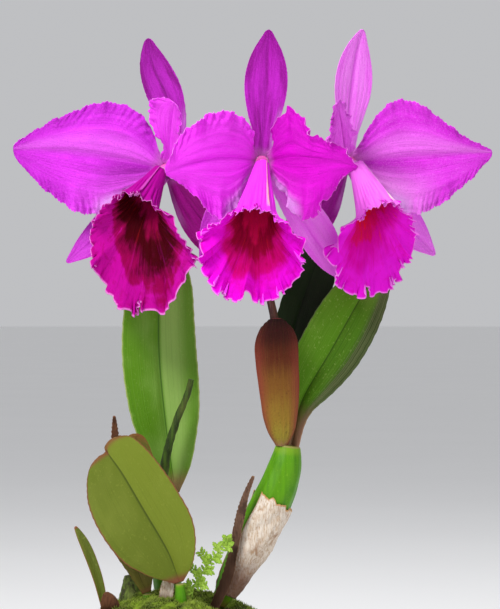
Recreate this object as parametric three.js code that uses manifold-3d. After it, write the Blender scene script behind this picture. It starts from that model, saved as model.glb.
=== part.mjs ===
// A flowering cattleya orchid in a plain clay pot: three blooms on one flower stem, strap leaves on their
// pseudobulbs, a spathe, papery sheaths, moss and a small weed.
//
// Millimetres, +Z up. The pot stands on z = 0 round the Z axis, and the blooms face -Y. A bloom has a frame
// of its own: forward is the way it faces, right and up lie in its plane. A blade (tepal, leaf, bract) is a
// midrib with a half-width to each side of it, and stations run from 0 at its base to 1 at its tip.

import * as THREE from 'three';
import { mergeVertices } from 'three/addons/utils/BufferGeometryUtils.js';
import Module from 'manifold-3d';

// ---------------------------------------------------------------- driving dimensions

const GAP = 0.3; // clearance between pieces that touch

// foot and rim are outer radii. The band is the thicker ring below the rim, standing out by bandStep.
const POT = {
  foot: 41, rim: 61.5, height: 94, wall: 5, floor: 8, band: 22, bandStep: 2, rounding: 1.5,
  holes: 4, holeRadius: 5, holeRing: 22,
};
const MEDIUM_TOP = 90;
const MOSS = { radius: 53, rings: 8, spokes: 28, edge: 93, crown: 113, bump: 1.6 };
const MOSS_HOLLOW = { x: 24, y: -7, depth: 10, width: 15 }; // where the rhizome shows

const TEPAL = { centre: 1.1, margin: 0.7 }; // thickness at the midrib and at the margin
const LEAF = { centre: 2.4, margin: 1.2 };
const PAPER = { centre: 0.8, margin: 0.7 };
const LIP_WALL = { centre: 0.9, margin: 0.8 };

const RECEPTACLE = { radius: 3.4, front: 1.5, back: -4.5 }; // the disc that a bloom's pieces grow from
const SEPAL_LAYER = -3; // sepals are the outer whorl, behind the petals
const TUBE_SEAT = { forward: 5.4, up: -1.6 }; // where the lip's tube starts on the receptacle

const BLOOMS = {
  left: { centre: [-7.7, 0, 344.5], yaw: -35, pitch: 6 },
  middle: { centre: [44.9, -35, 346.9], yaw: 0, pitch: 0 },
  right: { centre: [93.5, 0, 348.3], yaw: 35, pitch: 0 },
};

// Half-widths at even stations from base to tip.
const DORSAL = [3, 5, 8.5, 11, 11.3, 9, 4.5];
const SEPAL = [1.8, 7, 10.5, 12, 11.3, 8.5, 4];
const SIDE_SEPAL = { upper: SEPAL, lower: SEPAL, cup: [6, 10, 4] };

// clock: degrees anticlockwise from the bloom's right. sweep: degrees forward out of the bloom's plane.
// curl bends a blade forward, bow bends it up (a dorsal sepal: to the left), twist turns it, all in degrees.
const TEPALS = {
  left: {
    dorsal_sepal: {
      clock: 78, length: 76.5, upper: [3, 5, 8.5, 10, 10, 8.5, 5.5], lower: [3, 5, 8.5, 10.5, 10.5, 9, 6],
      curl: [10, 0, -5], bow: [40, 95, 60, -60, -60], twist: [0, 20, 10], ruffle: 0.6, waves: 2, phase: 0.3,
    },
    sepal_left: {
      clock: 219, sweep: 5, length: 78.5, ...SIDE_SEPAL, upper: [1.8, 7, 9.5, 10, 9, 7, 3.5], phase: 1.1,
    },
    sepal_right: { clock: 300, sweep: -15, length: 72, ...SIDE_SEPAL, curl: [-30, -60, -80], phase: 2.3 },
    petal_left: {
      clock: 165, sweep: 35, length: 83.5, upper: [3, 22.5, 29, 27, 20, 13.5, 8],
      lower: [3, 19, 31, 33.5, 29.5, 23, 16],
      curl: [0, -6, -12], bow: [-10, -20, -30], cup: [0, -6, -10], ruffle: 2, waves: 4, phase: 0.4,
    },
    petal_right: {
      clock: 64, sweep: 38, length: 46,
      upper: [3, 4, 7, 15, 18, 16, 12], lower: [3, 14, 18, 15, 9, 7, 6],
      bow: [-20, -20, 0], ruffle: 2, waves: 2.5, phase: 1.4,
    },
  },
  middle: {
    dorsal_sepal: {
      clock: 87, length: 68.6, upper: DORSAL, lower: DORSAL, curl: [5, 0, -5], cup: [8, 14, 8],
    },
    sepal_left: { clock: 238, sweep: -8, length: 60, ...SIDE_SEPAL, phase: 0.6 },
    sepal_right: {
      clock: 305.5, sweep: -6, length: 80, ...SIDE_SEPAL, lower: [1.8, 4, 6, 7.5, 8, 7, 4],
      curl: [-15, -35, -50], phase: 1.9,
    },
    petal_left: {
      clock: 170, sweep: 52, length: 62,
      upper: [3, 18, 24, 24.5, 22, 17, 9], lower: [3, 20, 31, 31, 25, 15, 7],
      curl: [-15, -30, -50], bow: [-25, -35, -40], cup: [0, 0, -6], ruffle: 2, waves: 4, phase: 2.2,
    },
    petal_right: {
      clock: 4, sweep: 52, length: 64.5, upper: [3, 21, 27, 15, 10, 9, 3], lower: [3, 17, 29, 32, 26, 14, 4],
      curl: [-10, -20, -30], bow: [-5, -20, -40], ruffle: 3, waves: 5, phase: 3.2,
    },
  },
  right: {
    dorsal_sepal: {
      clock: 87, length: 72.6, upper: [3, 5.5, 9, 12, 12.2, 9.5, 5], lower: [3, 5.5, 9, 12, 12.2, 9.5, 5],
      curl: [5, 0, -5], bow: [0, -15, -45], cup: [8, 12, 6],
    },
    sepal_left: { clock: 231, sweep: 3, length: 62, ...SIDE_SEPAL, phase: 2.9 },
    sepal_right: { clock: 319, sweep: 5, length: 73.6, ...SIDE_SEPAL, phase: 0.9 },
    petal_left: {
      clock: 134, sweep: 36, length: 48.5,
      upper: [2.6, 8, 10, 10, 9, 8, 7], lower: [2.6, 14, 16, 10, 7, 6, 6],
      cup: [0, -40, -50], ruffle: 2, waves: 4, phase: 5.4,
    },
    petal_right: {
      clock: 12, sweep: 35, length: 76.6,
      upper: [3, 20, 30, 27, 17, 8.5, 4.5], lower: [3, 21, 31, 32, 27, 19, 10],
      curl: [0, -6, -12], bow: [-10, -14, -5], cup: [0, -6, -8], ruffle: 2, waves: 5, phase: 4.4,
    },
  },
};

// A lip is a tube that opens into a frilled skirt. pitch: the tube's degrees below forward. lean: degrees
// that it leans to the right. reach and side: the skirt's lengths at its midline and at the tube's slit.
// below, beside, above: the degrees that it turns outwards there. narrowing: how fast it shortens sideways.
const LIPS = {
  left: {
    pitch: 52, lean: 1, tube: 28, reach: 53, side: 4, narrowing: 1.7,
    below: 40, beside: 70, above: 40, phase: 0.5,
  },
  middle: {
    pitch: 56, lean: -6.5, tube: 36, reach: 40, side: 4, narrowing: 1.6,
    below: 38, beside: 73, above: 30, phase: 1.7,
  },
  right: {
    pitch: 56, lean: 1, tube: 32, reach: 41, side: 3, narrowing: 1.6,
    below: 38, beside: 70, above: 30, phase: 3.1,
  },
};
const TUBE_RADIUS = { start: 3.5, mouth: 11 };
// A tube turns out into its skirt from just before its mouth to past it, and takes the last share later.
const TUBE_OPENS = { before: 6, past: 12, laterFrom: 8, laterTo: 34, laterShare: 0.14 };
const SLIT = 0.06; // radians that the tube stays open on each side, along its top
const FRILL = { height: 3, from: 0.62, sway: 0.8, folds: 11, ripple: 0.25, notch: 7, notchWidth: 0.08 };
const COLUMN = { radii: [2, 2.1, 2.6, 3, 2.2], share: 0.75 }; // its share of the tube's length
const TILTED_BASE = 0.9; // how high a piece stands that leans over its seat: its lower corner is GAP off it

// Stems and pseudobulbs: points of the axis, and radii at even stations.
const BULBS = {
  right: {
    points: [[21, 1, 105.5], [32, 1, 126], [46.5, 1, 154], [56.5, 0.5, 177], [59.5, 0, 193]],
    radii: [4, 7.6, 10.8, 10.7, 9.2, 6.6], lengthwise: 10, sides: 12,
  },
  left: {
    points: [[-7, 25, 100.6], [-8, 27, 122], [-6, 26, 145], [-3.4, 24, 164]], radii: [5, 8, 7, 4, 2.8],
    lengthwise: 6, sides: 10,
  },
  front: {
    points: [[1, -19, 100.6], [1, -20, 109], [0.5, -21, 119]], radii: [3.5, 3.2, 2.4],
    lengthwise: 4, sides: 8,
  },
  second: {
    points: [[-17, -8, 100.6], [-17, -8, 106], [-17.5, -8, 112]], radii: [3.2, 3, 2.4],
    lengthwise: 4, sides: 8,
  },
  mossy: {
    points: [[-27, 5, 100.6], [-27, 5, 110], [-28, 5, 121]], radii: [6, 7, 5.5, 2.5],
    lengthwise: 5, sides: 10,
  },
};
const RHIZOME = {
  radius: 3.1,
  runs: [
    [[-30, 5, 96.6], [-8, 3, 97.1], [12, 1, 99], [27, 0, 100.4]],
    [[-8, 3, 97], [-7, 14, 97], [-7, 28, 97]],
    [[2, 3, 97.8], [1, -8, 97.2], [1, -22, 97]],
    [[-17, 4, 97], [-17, -3, 97], [-17, -11, 97]],
  ],
  roots: [
    [[26, 0, 100.5], [23, -13, 100.5], [13, -23, 101], [7, -33, 98]],
    [[26, 0, 100.5], [32, -9, 102], [33, -22, 99]],
  ],
  rootRadius: 1.3,
};
const OLD_STEM = {
  points: [[-7, 19.3, 150], [-10, 14, 168], [-8, 10, 186], [-3, 8, 204], [3.5, 7, 220], [6, 6, 229]],
  radii: [2.4, 2.6, 2.4, 2, 1.8, 1.4], lengthwise: 8, sides: 6,
};

// Where the leaves, the spathe and the flower stem stand on the right pseudobulb's crown: across and back.
const CROWN_SEATS = { stem: [-3.6, -2.8], right_leaf: [2, 2.2], back_leaf: [-1, 5.2] };
const FLOWER_STEM = {
  route: [
    [55.3, -5, 207], [54, -8, 229], [53, -8, 248], [51.5, -8, 264], [48, -3, 281], [45.5, 6, 298],
    [45.5, 6.5, 312],
  ],
  radii: [2.3, 2.1, 2.1, 2.1, 2.1, 2.1, 3.2, 3.2],
  head: 3.2, // radius where the stalks join it
};
// Each bloom's stalk: two bends on its way from the bloom to the flower stem, the side that it joins and at
// what height.
const STALKS = {
  left: { bends: [[4, 15, 338], [22, 13, 320]], side: [-1, 0, 0], height: 306 },
  middle: { bends: [[45.2, -16, 344], [45.5, -7, 330]], side: [0, -1, 0], height: 309 },
  right: { bends: [[82, 15, 341], [64, 13, 322]], side: [1, 0, 0], height: 303 },
};
const STALK_RADII = [3.3, 3.3, 3, 2.6, 2.2, 2];
const STALK_END = { run: 6, drop: 0.4 }; // a stalk's last stretch, nearly level

const SPATHE = {
  route: [[55.3, -5, 207], [54, -8, 229], [53, -8, 248], [53, -8, 263]],
  halfWidths: [3.1, 7.6, 10.2, 11.3, 11, 5],
  halfDepths: [3.2, 4.6, 4.8, 4.8, 4.6, 3.9],
  slit: 8, // degrees on each side of the back
  foot: 1.6, // height over the crown that it leans over
  rounding: 0.11, // share of the length that its top is lower at the sides
};
// from and to are stations of the right pseudobulb, opensAt degrees round it.
// Its top is torn off higher on one side, at the degrees of highest.
const SHEATH = { from: 0.1, to: 0.585, tear: 0.015, highest: 140, wrinkle: 0.5, opensAt: [205, 488] };

// Leaves and bracts: points of the midrib, the way they face, half-widths seen from the front. seat names
// what they stand on, lift is the height of the midrib's foot over the highest moss under it.
const LEAVES = {
  left_leaf: {
    points: [[-3.4, 24, 165.2], [-9, 24, 205], [-12.5, 23, 245], [-12, 20, 283], [-10, 15, 308]],
    facing: [0.1, -1, 0],
    left: [2, 12, 18.5, 20.5, 21, 20.5, 19.5, 17, 8], right: [2, 12.5, 19, 21, 21, 20.5, 20, 17, 8],
    fold: [25, 10, 6], tip: 5, thickness: LEAF, rows: 12, columns: 4,
  },
  right_leaf: {
    seat: 'right_leaf', points: [[67, 6, 217], [84, 13, 246], [102, 22, 277], [116, 32, 298]],
    facing: [-0.2, -1, 0.1], left: [3.4, 9, 15, 18, 18, 14, 7], right: [4.6, 6.5, 14, 18, 18, 14, 7],
    fold: [30, 10, 6], tip: 5, thickness: LEAF, rows: 12, columns: 4,
  },
  back_leaf: {
    seat: 'back_leaf', points: [[58, 17, 229], [65, 26, 262], [76, 31, 295], [83, 33, 312]],
    facing: [0, -1, 0],
    left: [2, 7, 10, 11.5, 11.5, 10.5, 6], right: [2, 8, 12, 14, 14, 12, 7],
    fold: [30, 10, 6], tip: 5, thickness: LEAF, rows: 9, columns: 4,
  },
  front_leaf: {
    points: [[0.2, -21.3, 120], [-6, -24, 137], [-19, -28, 160], [-30, -30, 179], [-38.5, -31, 191]],
    facing: [-0.2, -1, 0.3],
    left: [2, 16, 24, 26.5, 25.5, 22, 18], right: [2, 12, 19.5, 20.5, 19.5, 18, 16.5],
    fold: [10, 0, 0], cup: [0, -10, -10], tip: 6, blunt: [0.33, 0.8], lobes: [0.5, 4.5],
    thickness: LEAF, rows: 11, columns: 6,
  },
  second_leaf: {
    points: [[-18, -8, 113], [-24, -10, 130], [-28, -11, 163], [-23, -10, 200]], facing: [0, -1, 0],
    left: [2, 4.5, 13, 17, 12], right: [2, 9, 16.5, 20, 12], cup: [0, -8, 0], tip: 4,
    thickness: LEAF, rows: 9, columns: 4,
  },
  dry_sheath_strip: {
    seat: 'moss', lift: -0.3,
    points: [[17.5, -7.5, 108], [27.5, -10.5, 126], [31, -11.5, 143], [34.5, -12, 160], [40.5, -12, 177]],
    facing: [-0.5, -1, 0], left: [2.2, 2.6, 2.4, 2.1, 1.4], right: [2.2, 2.6, 2.4, 2.1, 1.4],
    cup: [20, 30, 40], ruffle: 0.7, waves: 2, phase: 1, thickness: PAPER, rows: 8, columns: 2,
  },
  brown_leaf_tip: {
    seat: 'moss', lift: 0.8, points: [[-22, 16, 110], [-30, 12, 150], [-35, 8, 185], [-36.5, 6, 209]],
    facing: [0, -1, 0], left: [2, 3, 3, 2.5, 1], right: [2, 3, 3, 2.5, 1], fold: [40, 40, 20],
    thickness: PAPER, rows: 7, columns: 2,
  },
  young_leaf: {
    seat: 'moss', lift: 0.1, points: [[-41, -6, 104], [-45, -6, 120], [-51, -7, 137], [-57, -8, 149]],
    facing: [0.3, -1, 0], left: [1.5, 2.5, 2.8, 2.4, 1], right: [1.5, 2.5, 2.8, 2.4, 1], fold: [40, 30, 10],
    thickness: PAPER, rows: 7, columns: 2,
  },
  brown_scale: {
    seat: 'moss', lift: -0.8, points: [[-37, -13, 103], [-38, -15, 108], [-40, -15, 114]],
    facing: [0, -1, 0.2], left: [4, 5, 4, 1.5], right: [4, 5, 4, 1.5], cup: [30, 30, 10],
    thickness: PAPER, rows: 4, columns: 2,
  },
  left_papery_bract: {
    seat: 'moss', lift: 1.2, points: [[-7.5, -16.5, 108], [-6.7, -16.5, 115], [-5.2, -15.5, 124]],
    facing: [0, -1, 0], left: [3, 3.4, 3.2, 1.5], right: [3, 3.4, 3.2, 1.5], cup: [30, 30, 10],
    thickness: PAPER, rows: 4, columns: 2,
  },
};

const WEED = {
  stem: [[6.5, -14, 109], [8, -15, 117], [12, -17, 124], [17, -18, 131], [23, -18, 138], [27, -18, 142]],
  stemRadius: 0.6, pairs: 8, firstPair: 0.22, slant: 0.55, leaflet: [2.6, 1.3, 0.45],
  sprays: [
    [[8, -15, 117], [14, -18, 118]], [[12, -17, 124], [6, -18, 128]], [[17, -18, 131], [12, -19, 136]],
  ],
};

// ---------------------------------------------------------------- small tools

const { degToRad } = THREE.MathUtils;
const vector = ([x, y, z]) => new THREE.Vector3(x, y, z);

/** Number at x (0 to 1) of a smooth curve through evenly spaced numbers. */
function along(values, x) {
  const last = values.length - 1;
  const place = Math.min(Math.max(x, 0), 1) * last;
  const i = Math.min(Math.floor(place), last - 1);
  const f = place - i;
  const a = values[Math.max(i - 1, 0)];
  const b = values[i];
  const c = values[i + 1];
  const d = values[Math.min(i + 2, last)];
  const square = 2 * a - 5 * b + 4 * c - d;
  const cube = 3 * b - a - 3 * c + d;
  return 0.5 * (2 * b + (c - a) * f + square * f * f + cube * f * f * f);
}

/** Point at x (0 to 1) of a smooth curve through evenly spaced points. */
function pointAlong(points, x) {
  return vector([0, 1, 2].map((axis) => along(points.map((point) => point[axis]), x)));
}

function directionAlong(points, x) {
  const step = 1e-3;
  return pointAlong(points, Math.min(x + step, 1)).sub(pointAlong(points, Math.max(x - step, 0))).normalize();
}

/** Smooth step from 0 to 1 between two places. */
function eased(from, to, x) {
  const t = Math.min(Math.max((x - from) / (to - from), 0), 1);
  return t * t * (3 - 2 * t);
}

/** Two sine waves whose lengths don't match, so that no two folds are alike. Within -1 and 1.1. */
function folds(x, phase) {
  const slow = Math.sin(2 * Math.PI * x + phase);
  const quick = Math.sin(2 * Math.PI * 1.83 * x + 2.1 * phase + 1);
  return (slow + 0.45 * quick) / 1.3;
}

/** Stations from 0 to 1, packed towards 1 by the given share. */
function stations(count, packing) {
  return Array.from({ length: count + 1 }, (_, k) => {
    const even = k / count;
    return (1 - packing) * even + packing * Math.sin((Math.PI / 2) * even);
  });
}

function evenly(count, first, last) {
  return Array.from({ length: count + 1 }, (_, k) => first + ((last - first) * k) / count);
}

function geometryFrom(points, triangles) {
  const geometry = new THREE.BufferGeometry();
  const flat = points.flatMap((point) => [point.x, point.y, point.z]);
  geometry.setAttribute('position', new THREE.Float32BufferAttribute(flat, 3));
  geometry.setIndex(triangles.flat());
  return geometry;
}

function quad(a, b, c, d) {
  return [[a, b, c], [a, c, d]];
}

// ---------------------------------------------------------------- sheets: a grid of points with a thickness

/** Normals of a grid of points, by differences along its rows and columns. */
function gridNormals(grid) {
  const rows = grid.length;
  const columns = grid[0].length;
  return grid.map((row, i) => row.map((_, j) => {
    const down = grid[Math.min(i + 1, rows - 1)][j].clone().sub(grid[Math.max(i - 1, 0)][j]);
    const across = row[Math.min(j + 1, columns - 1)].clone().sub(row[Math.max(j - 1, 0)]);
    return down.cross(across).normalize();
  }));
}

/** Indices round the edge of a grid, row by row numbering. */
function edgeLoop(rows, columns) {
  const loop = [];
  for (let j = 0; j < columns; j += 1) loop.push(j);
  for (let i = 1; i < rows; i += 1) loop.push(i * columns + columns - 1);
  for (let j = columns - 2; j >= 0; j -= 1) loop.push((rows - 1) * columns + j);
  for (let i = rows - 2; i > 0; i -= 1) loop.push(i * columns);
  return loop;
}

/** Closed solid round a grid, its two faces triangulated alike. The thickness is centre at mid-width. */
function sheet(grid, { centre, margin }) {
  const normals = gridNormals(grid);
  const rows = grid.length;
  const columns = grid[0].length;
  const offset = (sign) => grid.flatMap((row, i) => row.map((point, j) => {
    const across = (2 * j) / (columns - 1) - 1;
    const half = (margin + (centre - margin) * (1 - across * across)) / 2;
    return point.clone().addScaledVector(normals[i][j], sign * half);
  }));
  const count = rows * columns;
  const triangles = [];
  for (let i = 0; i < rows - 1; i += 1) {
    for (let j = 0; j < columns - 1; j += 1) {
      const a = i * columns + j;
      const faces = quad(a, a + columns, a + columns + 1, a + 1);
      faces.forEach(([p, q, r]) => triangles.push([p, q, r], [p + count, r + count, q + count]));
    }
  }
  const loop = edgeLoop(rows, columns);
  loop.forEach((a, k) => {
    const b = loop[(k + 1) % loop.length];
    triangles.push(...quad(a, b, b + count, a + count));
  });
  return geometryFrom([...offset(1), ...offset(-1)], triangles);
}

// ---------------------------------------------------------------- blades

/** Midrib that leaves its base along heading, facing forward, and bends by curl, bow and twist on its way. */
function turningMidrib({ base, heading, facing, length, curl, bow, twist }, marks) {
  const steps = 60;
  const point = base.clone();
  const ahead = heading.clone().normalize();
  const face = facing.clone().addScaledVector(ahead, -facing.dot(ahead)).normalize();
  const frames = [{ point: point.clone(), ahead: ahead.clone(), face: face.clone() }];
  for (let k = 0; k < steps; k += 1) {
    const x = (k + 0.5) / steps;
    const side = ahead.clone().cross(face);
    ahead.applyAxisAngle(side, degToRad(along(curl, x)) / steps);
    face.applyAxisAngle(side, degToRad(along(curl, x)) / steps);
    ahead.applyAxisAngle(face, degToRad(along(bow, x)) / steps);
    face.applyAxisAngle(ahead, degToRad(along(twist, x)) / steps);
    point.addScaledVector(ahead, length / steps);
    frames.push({ point: point.clone(), ahead: ahead.clone(), face: face.clone() });
  }
  return marks.map((mark) => {
    const i = Math.min(Math.floor(mark * steps), steps - 1);
    const f = mark * steps - i;
    const blend = (key) => frames[i][key].clone().lerp(frames[i + 1][key], f);
    return squareFrame(blend('point'), blend('ahead').normalize(), blend('face'));
  });
}

/** Midrib through given points, facing one way. */
function routedMidrib({ points, facing }, marks) {
  return marks.map((mark) => {
    return squareFrame(pointAlong(points, mark), directionAlong(points, mark), vector(facing));
  });
}

function squareFrame(point, ahead, face) {
  const square = face.addScaledVector(ahead, -face.dot(ahead)).normalize();
  return { point, ahead, face: square, side: ahead.clone().cross(square) };
}

/**
 * Grid of points over a blade. left and right are half-widths seen from its face. A blunt tip keeps a share
 * of them, and lobes reach past the midrib's end, for a notched tip. Both are for the left and the right.
 */
function bladeGrid(frames, marks, across, shape) {
  const { left, right, tip = 6, blunt = [0, 0], lobes = [0, 0], cup = [0, 0], fold = [0, 0] } = shape;
  const { ruffle = 0, waves = 5, phase = 0 } = shape;
  const end = 0.5; // half-width that is left at a pointed tip
  return marks.map((mark, i) => {
    const { point, ahead, face, side } = frames[i];
    const rounding = Math.sqrt(Math.max(1 - mark ** tip, 0));
    const bend = degToRad(along(cup, mark)) || 1e-3;
    const crease = degToRad(along(fold, mark));
    return across.map((v) => {
      const hand = v < 0 ? -1 : 1;
      const out = Math.abs(v);
      const shortened = rounding + (1 - rounding) * blunt[v < 0 ? 0 : 1];
      const width = along(v < 0 ? left : right, mark) * shortened + end;
      const lobe = lobes[v < 0 ? 0 : 1] * eased(0.8, 1, mark) * Math.sin(Math.PI * out ** 0.75) ** 0.6;
      const run = (Math.sin(bend * out) / bend) * width;
      const rise = ((1 - Math.cos(bend * out)) / bend) * width;
      const lean = crease + bend * out;
      const wave = folds(waves * mark, phase + (v < 0 ? 0 : 1.7));
      const lift = ruffle * out ** 3 * wave * rounding;
      const sideways = Math.cos(crease) * run - Math.sin(crease) * rise - Math.sin(lean) * lift;
      const forward = Math.sin(crease) * run + Math.cos(crease) * rise + Math.cos(lean) * lift;
      return point.clone().addScaledVector(side, hand * sideways).addScaledVector(face, forward)
        .addScaledVector(ahead, lobe);
    });
  });
}

function routedBlade(route, shape, thickness, lengthwise, crosswise) {
  const marks = stations(lengthwise, 0.5);
  const across = evenly(crosswise, -1, 1);
  return sheet(bladeGrid(routedMidrib(route, marks), marks, across, shape), thickness);
}

// ---------------------------------------------------------------- stems and wrapped sheets

/** Rings round an axis, starting level with the front: radii across it, and depths from front to back. */
function rings(points, radii, depths, marks, angles) {
  const start = directionAlong(points, marks[0]);
  const guide = Math.abs(start.y) > 0.9 ? new THREE.Vector3(0, 0, 1) : new THREE.Vector3(0, -1, 0);
  let lateral = start.clone().cross(guide).normalize();
  return marks.map((mark) => {
    const centre = pointAlong(points, mark);
    const ahead = directionAlong(points, mark);
    lateral = lateral.clone().addScaledVector(ahead, -lateral.dot(ahead)).normalize();
    const front = lateral.clone().cross(ahead);
    return angles.map((angle) => {
      const across = Math.cos(angle) * along(radii, mark);
      const deep = Math.sin(angle) * along(depths, mark);
      return centre.clone().addScaledVector(lateral, across).addScaledVector(front, deep);
    });
  });
}

/** The same line, longer by extra at each end. */
function stretched(points, extra) {
  const moved = points.map(vector);
  moved[0].addScaledVector(directionAlong(points, 0), -extra);
  moved[points.length - 1].addScaledVector(directionAlong(points, 1), extra);
  return moved.map((point) => point.toArray());
}

/** Closed rod along an axis, with a flat face at each end. grow makes it bigger all round. */
function rod({ points, radii, grow = 0, lengthwise = 8, sides = 12 }) {
  const marks = evenly(lengthwise, 0, 1);
  const angles = evenly(sides - 1, 0, (2 * Math.PI * (sides - 1)) / sides);
  const wider = radii.map((radius) => radius + grow);
  const grid = rings(stretched(points, grow), wider, wider, marks, angles);
  const triangles = [];
  for (let i = 0; i < lengthwise; i += 1) {
    for (let j = 0; j < sides; j += 1) {
      const next = (j + 1) % sides;
      triangles.push(...quad(i * sides + j, (i + 1) * sides + j, (i + 1) * sides + next, i * sides + next));
    }
  }
  const top = lengthwise * sides;
  for (let j = 1; j < sides - 1; j += 1) {
    triangles.push([0, j, j + 1], [top, top + j + 1, top + j]);
  }
  return geometryFrom(grid.flat(), triangles);
}

function bulbRod(bulb, grow = 0) {
  return rod({ ...bulb, grow });
}

// ---------------------------------------------------------------- solids that are cut or joined

const wasm = await Module();
wasm.setup();

function toSolid(geometry) {
  const bare = geometry.clone();
  bare.deleteAttribute('normal');
  bare.deleteAttribute('uv');
  const merged = mergeVertices(bare, 1e-4);
  return new wasm.Manifold(new wasm.Mesh({
    numProp: 3,
    vertProperties: merged.getAttribute('position').array,
    triVerts: Uint32Array.from(merged.getIndex().array),
  }));
}

/** Geometry of a solid, without the slivers that cuts and joins leave. */
function toGeometry(solid) {
  const sliver = 0.02;
  const mesh = solid.simplify(sliver).getMesh();
  const geometry = new THREE.BufferGeometry();
  geometry.setAttribute('position', new THREE.BufferAttribute(new Float32Array(mesh.vertProperties), 3));
  geometry.setIndex(new THREE.BufferAttribute(new Uint32Array(mesh.triVerts), 1));
  return geometry;
}

// ---------------------------------------------------------------- blooms

function bloomAxes({ yaw, pitch }) {
  const turn = degToRad(yaw);
  const tilt = degToRad(pitch);
  const level = new THREE.Vector3(Math.sin(turn), -Math.cos(turn), 0);
  const forward = level.multiplyScalar(Math.cos(tilt)).setZ(Math.sin(tilt));
  const right = new THREE.Vector3(Math.cos(turn), Math.sin(turn), 0);
  return { forward, right, up: forward.clone().cross(right) };
}

/** Point in a bloom's frame. */
function inBloom(bloom, right, up, forward) {
  const axes = bloomAxes(bloom);
  return vector(bloom.centre).addScaledVector(axes.right, right).addScaledVector(axes.up, up)
    .addScaledVector(axes.forward, forward);
}

function tepal(bloom, name, spec) {
  const { clock, sweep = 0, length, upper, lower, curl = [0, 0], bow = [0, 0], twist = [0, 0] } = spec;
  const { forward, right, up } = bloomAxes(bloom);
  const angle = degToRad(clock);
  const lift = degToRad(sweep);
  const outward = right.multiplyScalar(Math.cos(angle)).addScaledVector(up, Math.sin(angle));
  const petal = name.startsWith('petal');
  const seat = RECEPTACLE.radius + GAP + (TEPAL.centre / 2) * Math.sin(lift);
  const layer = petal ? 0 : SEPAL_LAYER;
  const base = vector(bloom.centre).addScaledVector(outward, seat).addScaledVector(forward, layer);
  const heading = outward.clone().multiplyScalar(Math.cos(lift)).addScaledVector(forward, Math.sin(lift));
  const facing = forward.clone().multiplyScalar(Math.cos(lift)).addScaledVector(outward, -Math.sin(lift));
  const rightHanded = name === 'dorsal_sepal' || Math.cos(angle) > 0;
  const bowed = rightHanded ? bow : bow.map((degrees) => -degrees);
  const [left, opposite] = rightHanded ? [upper, lower] : [lower, upper];
  const marks = stations(petal ? 14 : 8, 0.5);
  const frames = turningMidrib({ base, heading, facing, length, curl, bow: bowed, twist }, marks);
  const across = evenly(petal ? 8 : 4, -1, 1);
  return sheet(bladeGrid(frames, marks, across, { ...spec, left, right: opposite }), TEPAL);
}

/** One line of a lip from the tube's base to the rim, at an angle round the tube from its underside. */
function lipProfile(spec, angle) {
  const steps = 60;
  const under = (1 + Math.cos(angle)) / 2;
  const notch = FRILL.notch * Math.exp(-((angle / FRILL.notchWidth) ** 2));
  const skirt = spec.side + (spec.reach - spec.side) * under ** spec.narrowing - notch;
  const total = spec.tube + skirt;
  const towards = Math.cos(angle) > 0 ? spec.below : spec.above;
  const opening = degToRad(spec.beside + (towards - spec.beside) * Math.cos(angle) ** 2);
  const cone = Math.atan2(TUBE_RADIUS.mouth - TUBE_RADIUS.start, spec.tube);
  const line = [{ radius: TUBE_RADIUS.start, height: 0, slope: cone }];
  const { before, past, laterFrom, laterTo, laterShare } = TUBE_OPENS;
  const step = total / steps;
  for (let k = 0; k < steps; k += 1) {
    const pastMouth = (k + 0.5) * step - spec.tube;
    const early = (1 - laterShare) * eased(-before, past, pastMouth);
    const opened = early + laterShare * eased(laterFrom, laterTo, pastMouth);
    const slope = cone + (opening - cone) * opened;
    const { radius, height } = line[k];
    line.push({ radius: radius + Math.sin(slope) * step, height: height + Math.cos(slope) * step, slope });
  }
  return { line, skirt };
}

function lip(bloom, spec) {
  const { forward, right, up } = bloomAxes(bloom);
  up.applyAxisAngle(forward, degToRad(spec.lean));
  const pitch = degToRad(spec.pitch);
  const axis = forward.clone().multiplyScalar(Math.cos(pitch)).addScaledVector(up, -Math.sin(pitch));
  const below = up.clone().multiplyScalar(-Math.cos(pitch)).addScaledVector(forward, -Math.sin(pitch));
  const beside = axis.clone().cross(below);
  const base = inBloom(bloom, 0, TUBE_SEAT.up, TUBE_SEAT.forward);
  const angles = evenly(44, -Math.PI + SLIT, Math.PI - SLIT);
  const lines = angles.map((angle) => lipProfile(spec, angle));
  const grid = stations(7, 0.4).map((mark) => angles.map((angle, j) => {
    const { line, skirt } = lines[j];
    const place = Math.min(mark * (line.length - 1), line.length - 1.001);
    const low = line[Math.floor(place)];
    const high = line[Math.floor(place) + 1];
    const blend = (key) => low[key] + (high[key] - low[key]) * (place - Math.floor(place));
    const outward = below.clone().multiplyScalar(Math.cos(angle)).addScaledVector(beside, Math.sin(angle));
    const round = below.clone().multiplyScalar(-Math.sin(angle)).addScaledVector(beside, Math.cos(angle));
    const fullness = THREE.MathUtils.clamp((1.6 * skirt) / spec.reach, 0.35, 1);
    const weight = FRILL.height * eased(FRILL.from, 1, mark) * fullness;
    const wander = 0.9 * Math.sin(3 * angle + spec.phase);
    const fold = FRILL.folds * angle + spec.phase + wander;
    const lift = weight * (Math.sin(fold) + FRILL.ripple * Math.sin(1.6 * FRILL.folds * angle + spec.phase));
    const slope = blend('slope');
    return base.clone().addScaledVector(outward, blend('radius') - Math.cos(slope) * lift)
      .addScaledVector(axis, blend('height') + Math.sin(slope) * lift)
      .addScaledVector(round, weight * 0.35 * FRILL.sway * Math.sin(2 * fold));
  }));
  return { geometry: sheet(grid, LIP_WALL), axis, base };
}

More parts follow.
